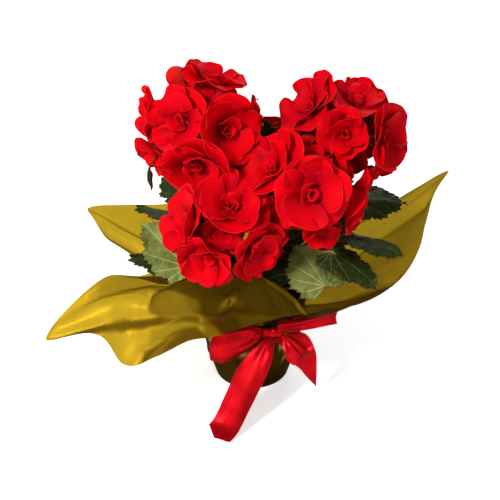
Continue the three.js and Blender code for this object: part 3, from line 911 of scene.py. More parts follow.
@made_once
def ribbon_material():
    """Red satin: a fine weave, a soft sheen, partly painted, and a firmer thread along both edges."""
    wrap = bpy.context.scene.begonia_wrap
    material, tree, shader = new_material(
        "red_satin", Specular_IOR_Level=0.1, Specular_Tint=(1.0, 0.1, 0.09, 1), Metallic=0.6
    )
    across, along, side = surface_numbers(tree)
    mottle = mottled(tree, 20, 0.6)
    warp = fine_lines(tree, across, along, 1.6, 0.05)
    weft = fine_lines(tree, along, across, 1.3, 0.05)
    dull, fresh = opaque(wrap.ribbon_colour, 0.8), opaque(wrap.ribbon_colour, 1.2)
    colour = blend_colours(tree, mottle["Patches"], dull, fresh)
    threads = times(tree, maths(tree, "MAXIMUM", warp, weft), 0.12)
    colour = blend_colours(tree, threads, colour, opaque(wrap.ribbon_colour, 0.6))
    # Painted sheen and shade: the satin is brighter where it faces the eye and darker seen at a slant
    slant = node(tree, "LayerWeight", {"Blend": 0.5}).outputs["Facing"]
    colour = blend_colours(tree, band(tree, slant, 0.15, 0.8), colour, opaque(wrap.ribbon_colour, 0.16))
    edge = band(tree, maths(tree, "ABSOLUTE", side), 0.93, 0.97)
    colour = laid_over(tree, colour, edge, 0.3, (0.8, 0.03, 0.03, 1))
    roughness = maths(tree, "ADD", 0.3, times(tree, threads, 1.2))
    normal = bump(tree, threads, 0.4, 0.0002)
    normal = bump(tree, edge, 0.5, 0.0003, normal)
    connect(tree, shader, Base_Color=colour, Roughness=roughness, Normal=normal)
    return material


@made_once
def pot_material():
    """Dark moulded plastic: fine turning lines, light scuffs and a dusting of peat."""
    wrap = bpy.context.scene.begonia_wrap
    material, tree, shader = new_material("pot_plastic", Specular_IOR_Level=0.4)
    mottle = mottled(tree, 30, 1.5)
    dust = times(tree, mottle["Patches"], 0.3)
    colour = blend_colours(tree, dust, opaque(wrap.pot_colour), opaque(wrap.soil_colour, 1.4))
    roughness = maths(tree, "ADD", 0.42, times(tree, mottle["Grain"], 0.25))
    height = node(tree, "SeparateXYZ", {"Vector": object_place(tree)}).outputs["Z"]
    rings = maths(tree, "SINE", times(tree, height, 2 * math.pi / 0.0012))
    normal = bump(tree, rings, 0.15, 0.0002)
    normal = bump(tree, mottle["Grain"], 0.2, 0.0003, normal)
    connect(tree, shader, Base_Color=colour, Roughness=roughness, Normal=normal)
    return material


@made_once
def soil_material():
    """Moist peat with paler fibres."""
    wrap = bpy.context.scene.begonia_wrap
    material, tree, shader = new_material("peat", Roughness=0.95, Specular_IOR_Level=0.2)
    mottle = mottled(tree, 8, 1.2)
    dark, light = opaque(wrap.soil_colour, 0.6), opaque(wrap.soil_colour, 1.7)
    colour = blend_colours(tree, mottle["Patches"], dark, light)
    fibres = band(tree, mottle["Grain"], 0.7, 1.0)
    colour = laid_over(tree, colour, fibres, 0.4, (0.2, 0.12, 0.06, 1))
    normal = bump(tree, mottle["Grain"], 0.9, 0.0015)
    connect(tree, shader, Base_Color=colour, Normal=normal)
    return material


# Flowers, modelled at a radius of 1 and copied into place

# Each pair goes from the outermost petal to the innermost. Lean and flare are how far a petal's foot
# and tip stand out from upright, in degrees. The heart closes between two shares of the petals.
BLOOM_KINDS = {
    "rose": {
        "petals": 12,
        "length": (1.02, 0.34),
        "width": (1.6, 1.15),
        "lean": (60, 0),
        "flare": (100, 14),
        "hollow": (1.15, 0.22),
        "heart": (0.4, 0.62),
    },
    "cup": {
        "petals": 9,
        "length": (1.08, 0.4),
        "width": (1.55, 1.1),
        "lean": (40, 0),
        "flare": (86, 14),
        "hollow": (0.85, 0.25),
        "heart": (0.5, 0.75),
    },
}
BLOOM_VARIANTS = 5
BLOOM_TONES = (0.6, 1)
# Small blooms deep in a head get a low tone, painted shade
FILLER_TONES = (0.3, 0.6)
FILLER_DIRECTIONS = 40
FILLER_TOP = 0.95
FILLER_DROP = 1.5
FILLER_SPACE = math.radians(31)
FILLER_OUT = 21
FILLER_RADIUS = 27
PETAL_ACROSS = 14
PETAL_ALONG = 12
BUD_GRID = 14
BUD_BULGE = 0.6
BUD_THICKNESS = 0.03
RUFFLE = 0.07
RIM_ROLL = 0.02
TYPICAL_RADIUS = 32
# How far a whole bloom may open or close, in degrees
OPENNESS = (-14, 4)
# How much one petal may differ from its rule: added for angles, otherwise a factor
PETAL_VARIATION = {
    "turn": (-0.2, 0.2),
    "length": (0.92, 1.06),
    "width": (0.92, 1.08),
    "lean": (-6, 6),
    "flare": (-10, 10),
    "hollow": (0.85, 1.2),
    "ruffle": (0.6, 1.4),
    "phase": (0, 6.28),
    "tone": (0.6, 1),
}
PETAL_WAVES = (2, 3, 3, 4)
PETAL_NOTCHES = (0, 0, 0.04, 0.09)


def petal_place(kind, k, openness, dice):
    """Where the points of a bloom's k-th petal go, from the outermost inwards."""

    def vary(what):
        return dice.uniform(*PETAL_VARIATION[what])

    inward = k / (kind["petals"] - 1)
    heart = smooth_step(*kind["heart"], inward)
    closed = mix(0.25 * inward, mix(0.5, 1, inward), heart)
    turn = k * GOLDEN_ANGLE + vary("turn")
    shortened = mix(0.25 * inward, mix(0.7, 1, inward), heart)
    length = mix(*kind["length"], shortened) * vary("length")
    half = mix(*kind["width"], heart) * length / 2 * vary("width")
    lean = math.radians(mix(*kind["lean"], closed) + openness * (1 - inward) + vary("lean"))
    flare = math.radians(mix(*kind["flare"], closed) + openness * (1 - inward) + vary("flare"))
    hollow = mix(*kind["hollow"], inward**0.8) * vary("hollow")
    ruffle = RUFFLE * mix(1, 0.4, heart) * vary("ruffle")
    waves = dice.choice(PETAL_WAVES)
    phase = vary("phase")
    notch = dice.choice(PETAL_NOTCHES)
    # Painted shade: the closed petals of the heart get a lower tone; the rest of the tone varies at
    # random
    tone = vary("tone") * mix(1, 0.55, closed)
    spin = Matrix.Rotation(turn, 3, "Z")
    bend = flare - lean

    def place(u, v):
        x = u * math.sqrt(1 - v * v / 2)
        y = (v * math.sqrt(1 - u * u / 2) + 1) / 2
        around = math.atan2(x, 2 * y - 1)
        rim = min(1, math.hypot(x, 2 * y - 1))
        y -= notch * smooth_step(0.35, 0, abs(x)) * smooth_step(0.6, 1, y)
        taper = mix(0.3, 1, smooth_step(0, 0.6, y))
        side = x * half * taper
        angle = lean + bend * y
        out = length * (math.cos(lean) - math.cos(angle)) / bend
        up = length * (math.sin(angle) - math.sin(lean)) / bend
        swing = side / hollow
        dip = hollow * (1 - math.cos(swing))
        lift = ruffle * rim**4 * math.sin(waves * around + phase)
        lift += 0.25 * ruffle * rim**8 * math.sin(3 * waves * around + 2 * phase)
        lift -= RIM_ROLL * smooth_step(0.78, 1, rim) * (1 - 0.5 * inward)
        lift += 0.03 * length * noise.noise(Vector((x * 2 + phase, y * 3, k)))
        inwards = dip + lift
        spot = Vector(
            (
                0.04 + out - inwards * math.cos(angle),
                hollow * math.sin(swing),
                0.07 + 0.03 * inward + up + inwards * math.sin(angle),
            )
        )
        return spin @ spot, (u, (v + 1) / 2, tone)

    return place


def model_bloom(kind_name, variant):
    plant = bpy.context.scene.begonia_plant
    kind = BLOOM_KINDS[kind_name]
    dice = random.Random(f"{kind_name} {variant} {plant.seed}")
    openness = dice.uniform(*OPENNESS)
    petals = []
    for k in range(kind["petals"]):
        place = petal_place(kind, k, openness, dice)
        petals.append(shaped_grid(f"petal_{k}", PETAL_ACROSS, PETAL_ALONG, place))
    bloom = joined(f"{kind_name}_model_{variant}", petals)
    give_thickness(bloom, plant.petal_thickness / TYPICAL_RADIUS)
    smooth_shaded(bloom)
    give_material(bloom, petal_material(False))
    return bloom


def model_bud():
    """A closed bud: two round petals pressed face to face on a short neck."""
    halves = []
    for face in (-1, 1):

        def place(u, v, face=face):
            x = u * math.sqrt(1 - v * v / 2)
            y = v * math.sqrt(1 - u * u / 2)
            rim = min(1, math.hypot(x, y))
            bulge = BUD_BULGE * (1 - rim**2.2) ** 0.6
            pinch = mix(1, 0.82, smooth_step(0.2, 1, -y))
            wave = 0.02 * rim**3 * math.sin(5 * math.atan2(x, y) + face)
            spot = Vector((x * pinch, face * (bulge + 0.02) + wave, 1.06 + y))
            return spot, (u, (v + 1) / 2, 0.95)

        halves.append(shaped_grid("bud_petal", BUD_GRID, BUD_GRID, place))
    bud = joined("bud_model", halves)
    give_thickness(bud, BUD_THICKNESS * MM)
    smooth_shaded(bud)
    give_material(bud, petal_material(True))
    return bud


def bloom_direction(bloom):
    return facing(*(bloom.face or (bloom.azimuth, bloom.elevation)))


def bloom_back(head, bloom):
    return Vector(head["middle"]) + facing(bloom.azimuth, bloom.elevation) * bloom.out


def bloom_matrix(head, bloom, index, size):
    turn = Vector((0, 0, 1)).rotation_difference(bloom_direction(bloom)).to_matrix().to_4x4()
    place = Matrix.Translation(bloom_back(head, bloom) * MM)
    return place @ turn @ Matrix.Rotation(index, 4, "Z") @ Matrix.Scale(size, 4)


def filler_blooms(head):
    """Smaller half-open blooms deep in a head, where its own blooms leave gaps."""
    taken = [facing(bloom.azimuth, bloom.elevation) for bloom in head["blooms"]]
    fillers = []
    for i in range(FILLER_DIRECTIONS):
        height = FILLER_TOP - FILLER_DROP * i / FILLER_DIRECTIONS
        azimuth = math.degrees(i * GOLDEN_ANGLE) % 360
        elevation = math.degrees(math.asin(height))
        way = facing(azimuth, elevation)
        if all(way.angle(other) > FILLER_SPACE for other in taken):
            taken.append(way)
            fillers.append(Bloom("cup", azimuth, elevation, FILLER_OUT, FILLER_RADIUS))
    return fillers


def dim(mesh, tone):
    """Darken a whole bloom by the third number of its surface attribute."""
    for item in mesh.attributes["surface"].data:
        item.vector[2] *= tone


class BEGONIA_OT_flowers(bpy.types.Operator):
    """Models a few blooms and a bud, and sets copies of them on every flower head"""

    bl_idname = "begonia.flowers"
    bl_label = "Flowers"

    def execute(self, context):
        plant = context.scene.begonia_plant
        models = {"bud": [model_bud()]}
        for kind in BLOOM_KINDS:
            models[kind] = [model_bloom(kind, variant) for variant in range(BLOOM_VARIANTS)]
        dice = random.Random(plant.seed)
        for head_name, head in HEADS.items():
            for index, bloom in enumerate(head["blooms"]):
                prefix, full = ("bud", 1) if bloom.kind == "bud" else ("bloom", plant.fullness)
                cad_name = f"{prefix}_{head_name}_{index + 1}"
                mesh = dice.choice(models[bloom.kind]).data.copy()
                dim(mesh, dice.uniform(*BLOOM_TONES))
                mesh.transform(bloom_matrix(head, bloom, index, bloom.radius * full))
                finish_piece(placed(cad_name + "_petals", mesh), "petal", cad_name)
            for index, bloom in enumerate(filler_blooms(head)):
                mesh = dice.choice(models["cup"]).data.copy()
                # Painted shade: small blooms deep in the head are darkened
                dim(mesh, dice.uniform(*FILLER_TONES))
                mesh.transform(bloom_matrix(head, bloom, index, bloom.radius))
                finish_piece(placed(f"small_bloom_{head_name}_{index + 1}", mesh), "petal")
        for model in sum(models.values(), []):
            bpy.data.objects.remove(model)
        return {"FINISHED"}


# Leafy stems


def leaf_matrix(leaf):
    azimuth, pitch, roll = (math.radians(angle) for angle in leaf.turn)
    turn = (
        Matrix.Rotation(azimuth - math.pi / 2, 4, "Z")
        @ Matrix.Rotation(pitch, 4, "X")
        @ Matrix.Rotation(roll, 4, "Y")
    )
    return Matrix.Translation(Vector(leaf.base)) @ turn


def vein_offset(x, y):
    """How far a place on the leaf's plane is from the nearest main vein, in millimetres."""
    angle = abs(math.atan2(x, y))
    aside = (angle + VEIN_ANGLE / 2) % VEIN_ANGLE - VEIN_ANGLE / 2
    return math.hypot(x, y) * abs(aside)


def leaf_place(leaf, seed):
    """Where the points of a leaf blade go: a heart-shaped outline with teeth in two sizes."""
    length, width = leaf.size
    outline = [Vector((x, y, 0)) for x, y in LEAF_OUTLINE]
    turn = leaf_matrix(leaf)
    last = LEAF_TEETH * ROWS_PER_TOOTH

    def place(u, v):
        share = (v + 1) / 2
        edge = curve_point(outline, share)
        row = share * last
        large = zigzag(share * LEAF_TEETH)
        small = row / ROWS_PER_SMALL_TOOTH % 1
        outer = abs(u) ** 3
        tooth = 1 + outer * (TOOTH * large - 0.18 + SMALL_TOOTH * small)
        x = u * edge.x * tooth * width / 2
        reach = edge.y + 0.03 * large - 0.03 + 0.05 * small
        y = mix(share, reach, abs(u) ** 1.2) * length
        along = y / length
        sag = -leaf.droop * length * along * abs(along)
        ripple = LEAF_RIPPLE * length * u * math.sin(8 * share + seed) * abs(u)
        swell = VEIN_SWELL * (1 - math.exp(-((vein_offset(x, y) / 3) ** 2)))
        blister = BLISTER * noise.noise(Vector((x / 9, y / 9, seed)))
        waver = EDGE_WAVER * outer * noise.noise(Vector((x / 7, y / 7, seed + 9)))
        z = sag + leaf.cup * abs(x) + ripple + swell + blister + waver
        return turn @ Vector((x, y, z)), (x, y, abs(u))

    return place


def model_leaf(leaf, seed):
    plant = bpy.context.scene.begonia_plant
    blade = shaped_grid("blade", LEAF_COLUMNS, LEAF_TEETH * ROWS_PER_TOOTH, leaf_place(leaf, seed))
    blade.data.materials.append(leaf_material(leaf.young))
    blade.data.materials.append(leaf_back_material(leaf.young))
    give_thickness(blade, plant.leaf_thickness, material_offset=1)
    return blade


def points_along(path, steps):
    return [curve_point(path, i / steps) for i in range(steps + 1)]


def stem_points(head):
    foot, middle = Vector((*head["foot"], 0)), Vector(head["middle"])
    lift = Vector((0, 0, 1))
    bend = foot.lerp(middle, 0.35)
    bend.z = mix(SOIL_LEVEL, middle.z, 0.5)
    path = [foot + lift * z for z in (SOIL_LEVEL - STEM_DEPTH + 0.5, SOIL_LEVEL, SOIL_LEVEL + 14)]
    return points_along(path + [bend, middle], STEM_STEPS)


def leaf_stalk(stem, leaf):
    """The stalk of a leaf, from the stem to a little way under the blade."""
    position = leaf.at * (len(stem) - 1)
    start = stem[int(position)].lerp(stem[int(position) + 1], position % 1)
    base = Vector(leaf.base)
    bend = start.lerp(base, 0.6)
    bend.z = mix(start.z, base.z, 0.75)
    sunk = leaf_matrix(leaf) @ Vector((0, 0.12 * leaf.size[0], -0.3))
    points = points_along([start, bend, base, sunk], LEAF_STALK_STEPS)
    radii = []
    for i in range(LEAF_STALK_STEPS + 1):
        end = i - LEAF_STALK_STEPS + LEAF_STALK_TAPER
        plain = mix(2.1, 1.6, i / LEAF_STALK_STEPS)
        radii.append(plain if end < 1 else mix(1.6, 0.5, end / LEAF_STALK_TAPER))
    return stalk("leaf_stalk", points, radii, stem_material())


def flower_stalk(head, bloom):
    """The stalk of a bloom, which flares where it meets the bloom's back."""
    middle = Vector(head["middle"])
    start = middle + facing(bloom.azimuth, bloom.elevation) * 3
    end = bloom_back(head, bloom) - bloom_direction(bloom) * SEAT_GAP
    between = start.lerp(end, 0.5) + Vector((0, 0, -2))
    points = []
    radii = []
    for i in range(FLOWER_STALK_STEPS + 1):
        t = i / FLOWER_STALK_STEPS
        points.append(start.lerp(between, t).lerp(between.lerp(end, t), t))
        flare = (i - FLARE_STEP) / (FLOWER_STALK_STEPS - FLARE_STEP)
        radii.append(mix(1.6, 1.2, i / FLARE_STEP) if flare < 0 else mix(1.3, 2.2, flare))
    return stalk("flower_stalk", points, radii, stem_material())


def withered_bud():
    path = [Vector(spot) for spot, _ in WITHERED_BUD]
    radii = points_along([Vector((radius, 0, 0)) for _, radius in WITHERED_BUD], BUD_STEPS)
    points = points_along(path, BUD_STEPS)
    return stalk("withered_bud", points, [radius.x for radius in radii], withered_material(), sides=7)


class BEGONIA_OT_leafy_stems(bpy.types.Operator):
    """Grows each stem with its leaf stalks, toothed leaves and flower stalks"""

    bl_idname = "begonia.leafy_stems"
    bl_label = "Leafy stems"

    def execute(self, context):
        radius = context.scene.begonia_plant.stem_radius / MM
        for number, (name, head) in enumerate(HEADS.items()):
            stem = stem_points(head)
            radii = []
            for i in range(len(stem)):
                knuckle = 0.5 * max(0, 1 - abs(i % KNUCKLE_EVERY - KNUCKLE_EVERY // 2) / 2)
                radii.append(radius * mix(1, 0.8, i / STEM_STEPS) + knuckle)
            # A knob at the top, where the flower stalks start
            radii[-3:] = [radius * 1.1, radius * 1.25, radius * 1.1]
            parts = [stalk("stem", stem, radii, stem_material(), sides=5)]
            for index, leaf in enumerate(head["leaves"] + INNER_LEAVES[name]):
                parts.append(model_leaf(leaf, 10 * number + index))
                parts.append(leaf_stalk(stem, leaf))
            parts += [flower_stalk(head, bloom) for bloom in head["blooms"] + filler_blooms(head)]
            if name == "left":
                parts.append(withered_bud())
            piece = joined(f"{name}_stem_with_leaves", parts)
            smooth_shaded(piece)
            finish_piece(piece, "foliage", f"leafy_stem_{name}")
        return {"FINISHED"}


# Pot and soil

POT_SIDES = 96
SOIL_SIDES = 72
SOIL_STEPS = 24
CRUMBS = 160


def turned(name, profile, steps):
    """A shape turned about the vertical axis from pairs of a radius and a height in millimetres."""
    mesh = bpy.data.meshes.new(name)
    points = [(r * MM, 0, z * MM) for r, z in profile]
    mesh.from_pydata(points, [(i, i + 1) for i in range(len(points) - 1)], [])
    piece = placed(name, mesh)
    settings = {"use_merge_vertices": True, "merge_threshold": 1e-6}
    apply_modifier(piece, "SCREW", steps=steps, render_steps=steps, **settings)
    merge_doubles(piece, 1e-6)
    return piece


def soil_mound(share):
    """How far the soil rises above its edge at a share of the way in to its middle."""
    return SOIL_MOUND * math.sin(share * math.pi / 2)


def pot_wall_radius(height):
    return mix(POT_BASE_RADIUS, POT_SHOULDER_RADIUS, height / (POT_HEIGHT - POT_RIM_DEPTH))


class BEGONIA_OT_pot(bpy.types.Operator):
    """Turns the thin grower's pot, with its stepped rim and the drain holes in its floor"""

    bl_idname = "begonia.pot"
    bl_label = "Pot"

    def execute(self, context):
        step = POT_HEIGHT - POT_RIM_DEPTH
        profile = [
            (0, POT_FLOOR),
            (POT_BASE_RADIUS, POT_FLOOR),
            (POT_SHOULDER_RADIUS, step - 1),
            (POT_RIM_RADIUS, step),
            (POT_RIM_RADIUS, POT_HEIGHT),
            (POT_RIM_RADIUS - POT_WALL, POT_HEIGHT),
            (POT_RIM_RADIUS - POT_WALL, step + POT_WALL),
            (POT_SHOULDER_RADIUS - POT_WALL, step - 1),
            (POT_BASE_RADIUS - POT_WALL, POT_FLOOR + POT_WALL),
            (0, POT_FLOOR + POT_WALL),
        ]
        pot = turned("grower_pot", profile, POT_SIDES)
        for i in range(DRAIN_HOLES):
            spot = polar(360 * i / DRAIN_HOLES, DRAIN_RING * POT_BASE_RADIUS, POT_FLOOR) * MM
            deselect_all()
            radius = DRAIN_RADIUS * MM
            bpy.ops.mesh.primitive_cylinder_add(vertices=24, radius=radius, depth=0.01, location=spot)
            drill = context.object
            apply_modifier(pot, "BOOLEAN", operation="DIFFERENCE", object=drill, solver="EXACT")
            bpy.data.objects.remove(drill)
        settings = {"limit_method": "ANGLE", "angle_limit": math.radians(30)}
        apply_modifier(pot, "BEVEL", width=0.4 * MM, segments=2, **settings)
        smooth_shaded(pot, 35)
        give_material(pot, pot_material())
        finish_piece(pot, "pot_plastic", "pot")
        return {"FINISHED"}


class BEGONIA_OT_soil(bpy.types.Operator):
    """Heaps the peat that fills the pot, with crumbs lying on it"""

    bl_idname = "begonia.soil"
    bl_label = "Soil"

    def execute(self, context):
        gap = POT_WALL + SEAT_GAP
        floor = POT_FLOOR + gap
        edge = pot_wall_radius(SOIL_EDGE) - gap - 0.6
        profile = [(0, floor), (POT_BASE_RADIUS - gap - 0.3, floor), (edge, SOIL_EDGE)]
        for i in range(1, SOIL_STEPS + 1):
            share = i / SOIL_STEPS
            profile.append((edge * (1 - share), SOIL_EDGE + soil_mound(share)))
        heap = turned("peat_heap", profile, SOIL_SIDES)
        for vertex in heap.data.vertices:
            rough = smooth_step(SOIL_EDGE - 0.5, SOIL_EDGE + 3, vertex.co.z / MM)
            spot = vertex.co / MM
            lump = 0.9 * noise.noise(spot / 6) + 0.6 * noise.noise(spot / 2.2)
            vertex.co.z += rough * lump * MM
        dice = random.Random(3)
        deselect_all()
        bpy.ops.mesh.primitive_ico_sphere_add(subdivisions=1, radius=1)
        crumb = context.object
        crumbs = [heap]
        for _ in range(CRUMBS):
            radius = (edge - 3) * math.sqrt(dice.random())
            spot = polar(dice.uniform(0, 360), radius, 0)
            spot.z = SOIL_EDGE + 0.2 + soil_mound(1 - radius / edge)
            size = dice.uniform(0.7, 1.8)
            scale = Matrix.Diagonal((size, size * dice.uniform(0.6, 1), size * 0.6, 1)).to_4x4()
            turn = Matrix.Rotation(dice.uniform(0, 6), 4, "Z")
            turn @= Matrix.Rotation(dice.uniform(-0.6, 0.6), 4, "X")
            mesh = crumb.data.copy()
            mesh.transform(Matrix.Scale(MM, 4) @ Matrix.Translation(spot) @ turn @ scale)
            crumbs.append(placed("crumb", mesh))
        bpy.data.objects.remove(crumb)
        soil = joined("peat", crumbs)
        smooth_shaded(soil)
        give_material(soil, soil_material())
        finish_piece(soil, "soil", "soil")
        return {"FINISHED"}


# Film

FILM_COLUMNS = 300
FILM_COLLAR_ROWS = 84
FILM_LOW_ROWS = 38
FILM_ROWS = FILM_LOW_ROWS + FILM_COLLAR_ROWS
COLLAR_START = 63.2
COLLAR_TENSION = 0.45
CRUMPLE = 2.4
CRUMPLE_SPAN = 15
LOW_FILM_DEPTH = 0.8
# Size and shift of the patches of painted glints
GLINT_SPAN = 18
GLINT_SHIFT = Vector((13.6, 0, 0))

# The film up to the neck: the share of its rows, the radius and the height
LOW_PROFILE = [
    (0, 0, 0.4),
    (0.15, BASE_RADIUS - 1.2, 0.4),
    (0.18, BASE_RADIUS, 0.7),
    (0.45, 53.5, 36),
    (0.8, NECK_RADIUS - 0.6, NECK_LOW),
    (0.92, NECK_RADIUS, NECK_HIGH),
    (1, COLLAR_START, NECK_HIGH + 4),
]

# Pointed corners of the collar: the station, half the width in stations and the length
FILM_CORNERS = [(0, 0.5, 5), (8, 0.4, 5), (14, 0.4, 4)]

# On the collar a place is its station and its share of the way from the neck to the free edge.
# First the folds that both a crease and a double part follow.
UPPER_FOLD = [(14.5, 0.95), (15, 0.9), (15.5, 0.835), (16, 0.81), (17, 0.82), (18, 0.875), (18.5, 0.9)]
LOWER_FOLD = [(15, 0.975), (15.5, 0.9), (16, 0.857), (17, 0.86), (18, 0.9), (18.6, 0.93)]
LAPEL_EDGE = [(21.4, 0.667), (22, 0.76), (22.5, 0.82), (23.2, 0.9)]

# A crease is its height and half its width, and the line that it follows
FILM_CREASES = [
    (5, 16, [(0, 0.4), (0, 1)]),
    (-4, 16, [(1, 0.4), (1, 1)]),
    (3, 20, [(5, 0.4), (5, 1)]),
    (-3, 20, [(6.4, 0.4), (6.4, 1)]),
    (5, 12, [(8, 0.4), (8, 1)]),
    (-4, 8, [(8.3, 0.98), (8.7, 0.8), (9.1, 0.6)]),
    (6, 8, [(8.6, 0.96), (9.1, 0.8), (9.6, 0.6), (9.8, 0.45)]),
    (4, 9, [(8.85, 1), (9.3, 0.87), (9.8, 0.72), (10, 0.5)]),
    (3, 12, [(11.5, 0.4), (11.5, 1)]),
    (2, 14, [(13, 1), (13.5, 0.72), (14.85, 0.65), (16.3, 0.7)]),
    (-2, 14, [(13.8, 0.6), (14.4, 0.72), (14.9, 0.82), (15.1, 0.88)]),
    (5, 11, [(13.9, 1), *UPPER_FOLD]),
    (-3, 9, [(14.8, 1), *LOWER_FOLD]),
    (3, 8, [(16.3, 1), (16.5, 0.95), (17.35, 0.92), (18.4, 0.935), (19, 0.97)]),
    (3, 7, [(18, 0.6), (16.6, 0.69), (16.6, 0.79), (17, 0.82)]),
    (2.5, 6, [(18.5, 0.9), (19, 0.91), (20, 0.93), (21, 0.95), (22, 0.98)]),
    (4.5, 5, [(19.3, 0.82), (19.9, 0.86), (20.4, 0.83)]),
    (-4.5, 5, [(19.5, 0.9), (20, 0.88), (20.7, 0.9)]),
    (3, 8, [(21.6, 0.7), (22, 0.85), (22.3, 1)]),
    (3, 5, [(21, 0.5), *LAPEL_EDGE, (23.6, 1)]),
    (-3, 9, [(24, 0.4), (23.8, 0.8), (23.6, 1)]),
    (3, 14, [(25.5, 0.4), (25.5, 0.92)]),
    (4, 10, [(27.8, 0.4), (27.8, 0.94)]),
    (-3, 20, [(28.8, 0.4), (28.8, 0.9)]),
    (5, 12, [(31, 0.4), (31, 0.94)]),
]
# A pleat that stands up in front: its station, half its width in stations and its height
FRONT_PLEAT = (23.4, 1.3, 14)
# Where the film lies double, and where painted shade falls on it: how deep it looks, and the corners of
# that patch
DOUBLE_AND_SHADED_FILM = [
    (0.25, [(8.7, 1.1), (9.2, 0.87), (9.8, 0.7), (10.3, 0.8), (10.3, 1.1)]),
    (0.25, [(13, 1.1), (13.5, 0.72), (14.85, 0.65), (16.3, 0.7), (15.5, 0.5), (12.5, 0.5), (12.3, 1.1)]),
    (0.8, [(13.9, 1.1), *UPPER_FOLD, *reversed(LOWER_FOLD), (14.8, 1.1)]),
    (0.8, [(16.3, 1.1), (16.5, 0.95), (17.35, 0.92), (18.4, 0.935), (19.2, 1.1)]),
    (0.3, [(16.7, 0.93), (16.9, 0.84), (18.6, 0.9), (19.4, 0.94), (18.4, 0.935), (17.35, 0.92)]),
    (0.6, [(17.4, 0.45), (16.6, 0.69), (16.55, 0.79), (17, 0.82), (18, 0.875), (19, 0.92), (19.8, 1.1),
           (23.8, 1.1), *reversed(LAPEL_EDGE), (21, 0.45)]),
    (0.35, [(18.3, 0.6), (18.4, 0.88), (20, 0.93), (22, 0.98), (23.2, 0.98), *reversed(LAPEL_EDGE),
            (21, 0.5)]),
    (0.45, [(21, 0.45), *LAPEL_EDGE, (23.6, 0.8), (23.4, 0.45)]),
    (0.55, [(19, 0.92), (20.2, 0.94), (20.4, 1.1), (19.4, 1.1)]),
    (0.85, [(23.8, 0), (23.8, 1.1), (27.7, 1.1), (28, 0.7), (27.6, 0.5), (27.6, 0)]),
    (0.4, [(27.7, 0), (27.7, 1.1), (31, 1.1), (31, 0)]),
]
MM_PER_STATION = 20
MM_PER_SHARE = 225


def tent(turn_share, station, half_width, height):
    """A sharp ridge that runs out from one station, and falls to nothing on both sides."""
    count = len(FILM_STATIONS)
    away = abs((turn_share * count - station + count / 2) % count - count / 2)
    return height * max(0, 1 - away / half_width)


def collar_place(station, share):
    return Vector((station * MM_PER_STATION, share * MM_PER_SHARE))


def distance_to(spot, line):
    """How far a spot is from a broken line."""
    nearest = math.inf
    for start, end in zip(line, line[1:]):
        run = end - start
        share = min(1, max(0, (spot - start).dot(run) / run.length_squared))
        nearest = min(nearest, (spot - start - share * run).length)
    return nearest


def is_inside(spot, corners):
    inside = False
    for a, b in zip(corners, corners[1:] + corners[:1]):
        if (a.y > spot.y) != (b.y > spot.y) and spot.x < a.x + (b.x - a.x) * (spot.y - a.y) / (b.y - a.y):
            inside = not inside
    return inside


CREASE_LINES = [(height, half, [collar_place(*p) for p in line]) for height, half, line in FILM_CREASES]
DOUBLE_AND_SHADED_PATCHES = [(depth, [collar_place(*p) for p in corners]) for depth, corners in DOUBLE_AND_SHADED_FILM]


def film_creases(spot):
    """How far the creases lift the film at a place of the collar."""
    count = len(FILM_STATIONS)
    height = 0
    for top, half, line in CREASE_LINES:
        away = distance_to(spot, line)
        # A crease at the first station is also reached past the last one
        if line[0].x == 0:
            away = min(away, distance_to(spot - collar_place(count, 0), line))
        height += top * max(0, 1 - away / half)
    return height


def film_depth(spot):
    """How much deeper the film looks where it lies double and in painted shade, from 0 to 1."""
    clear = 1
    for depth, corners in DOUBLE_AND_SHADED_PATCHES:
        away = distance_to(spot, corners + corners[:1])
        share = smooth_step(-2, 2, away if is_inside(spot, corners) else -away)
        clear *= 1 - depth * share
    return 1 - clear


def film_low_point(turn_share, row_share):
    """The film from the middle of its base up to the neck, and how deep it looks there.

    The depth goes below 0 for painted glints where a crumple catches the light.
    """
    reached = max(i for i in range(len(LOW_PROFILE) - 1) if row_share >= LOW_PROFILE[i][0])
    (low, radius, height), (high, next_radius, next_height) = LOW_PROFILE[reached : reached + 2]
    share = (row_share - low) / (high - low)
    radius = mix(radius, next_radius, share)
    height = mix(height, next_height, share)
    azimuth = FILM_STATIONS[0][0][0] + 360 * turn_share
    pleat = film_pleat(turn_share, height) * smooth_step(2, 30, height)
    pleat *= smooth_step(NECK_HIGH, NECK_LOW, height)
    near, next_near = noise.voronoi(polar(azimuth, radius, height * 0.8) / CRUMPLE_SPAN)[0][:2]
    loose = smooth_step(6, 45, height) * smooth_step(NECK_LOW - 1, NECK_LOW - 10, height)
    crumple = min(1, 1.3 * (next_near - near)) * loose
    # Painted glints on the crumples' ridges, in patches
    bright = smooth_step(0.22, 0.04, next_near - near) * loose * smooth_step(20, 50, height)
    cloud = noise.noise(polar(azimuth, radius, height) / GLINT_SPAN + GLINT_SHIFT)
    bright *= smooth_step(-0.1, 0.2, cloud)
    spot = polar(azimuth, radius + 1.1 * max(0, pleat) + CRUMPLE * crumple, height)
    return spot, mix(LOW_FILM_DEPTH, -1, bright)


def film_pleat(turn_share, height):
    """Sharp irregular pleats, from -1 to 1."""
    a = 2 * math.pi * turn_share
    ring = Vector((math.cos(a), math.sin(a), 0))
    first = noise.noise(ring * 9 + Vector((0, 0, height / 240)))
    second = noise.noise(ring * 19 + Vector((5, 0, height / 150)))
    return 1.4 * (abs(first) * 1.6 - 0.4) + 0.7 * second


def film_collar_point(turn_share, row_share):
    """The open collar above the neck: a smooth sheet to its crest and on to its free edge."""
    crest = curve_point([polar(*s[0]) for s in FILM_STATIONS], turn_share, closed=True)
    edge = curve_point([polar(*s[1]) for s in FILM_STATIONS], turn_share, closed=True)
    azimuth = FILM_STATIONS[0][0][0] + 360 * turn_share
    start = polar(azimuth, COLLAR_START, NECK_HIGH + 4)
    second = polar(azimuth, NECK_RADIUS + 9, NECK_HIGH + 18)
    return curve_point([start, second, crest, edge], row_share, tension=COLLAR_TENSION)


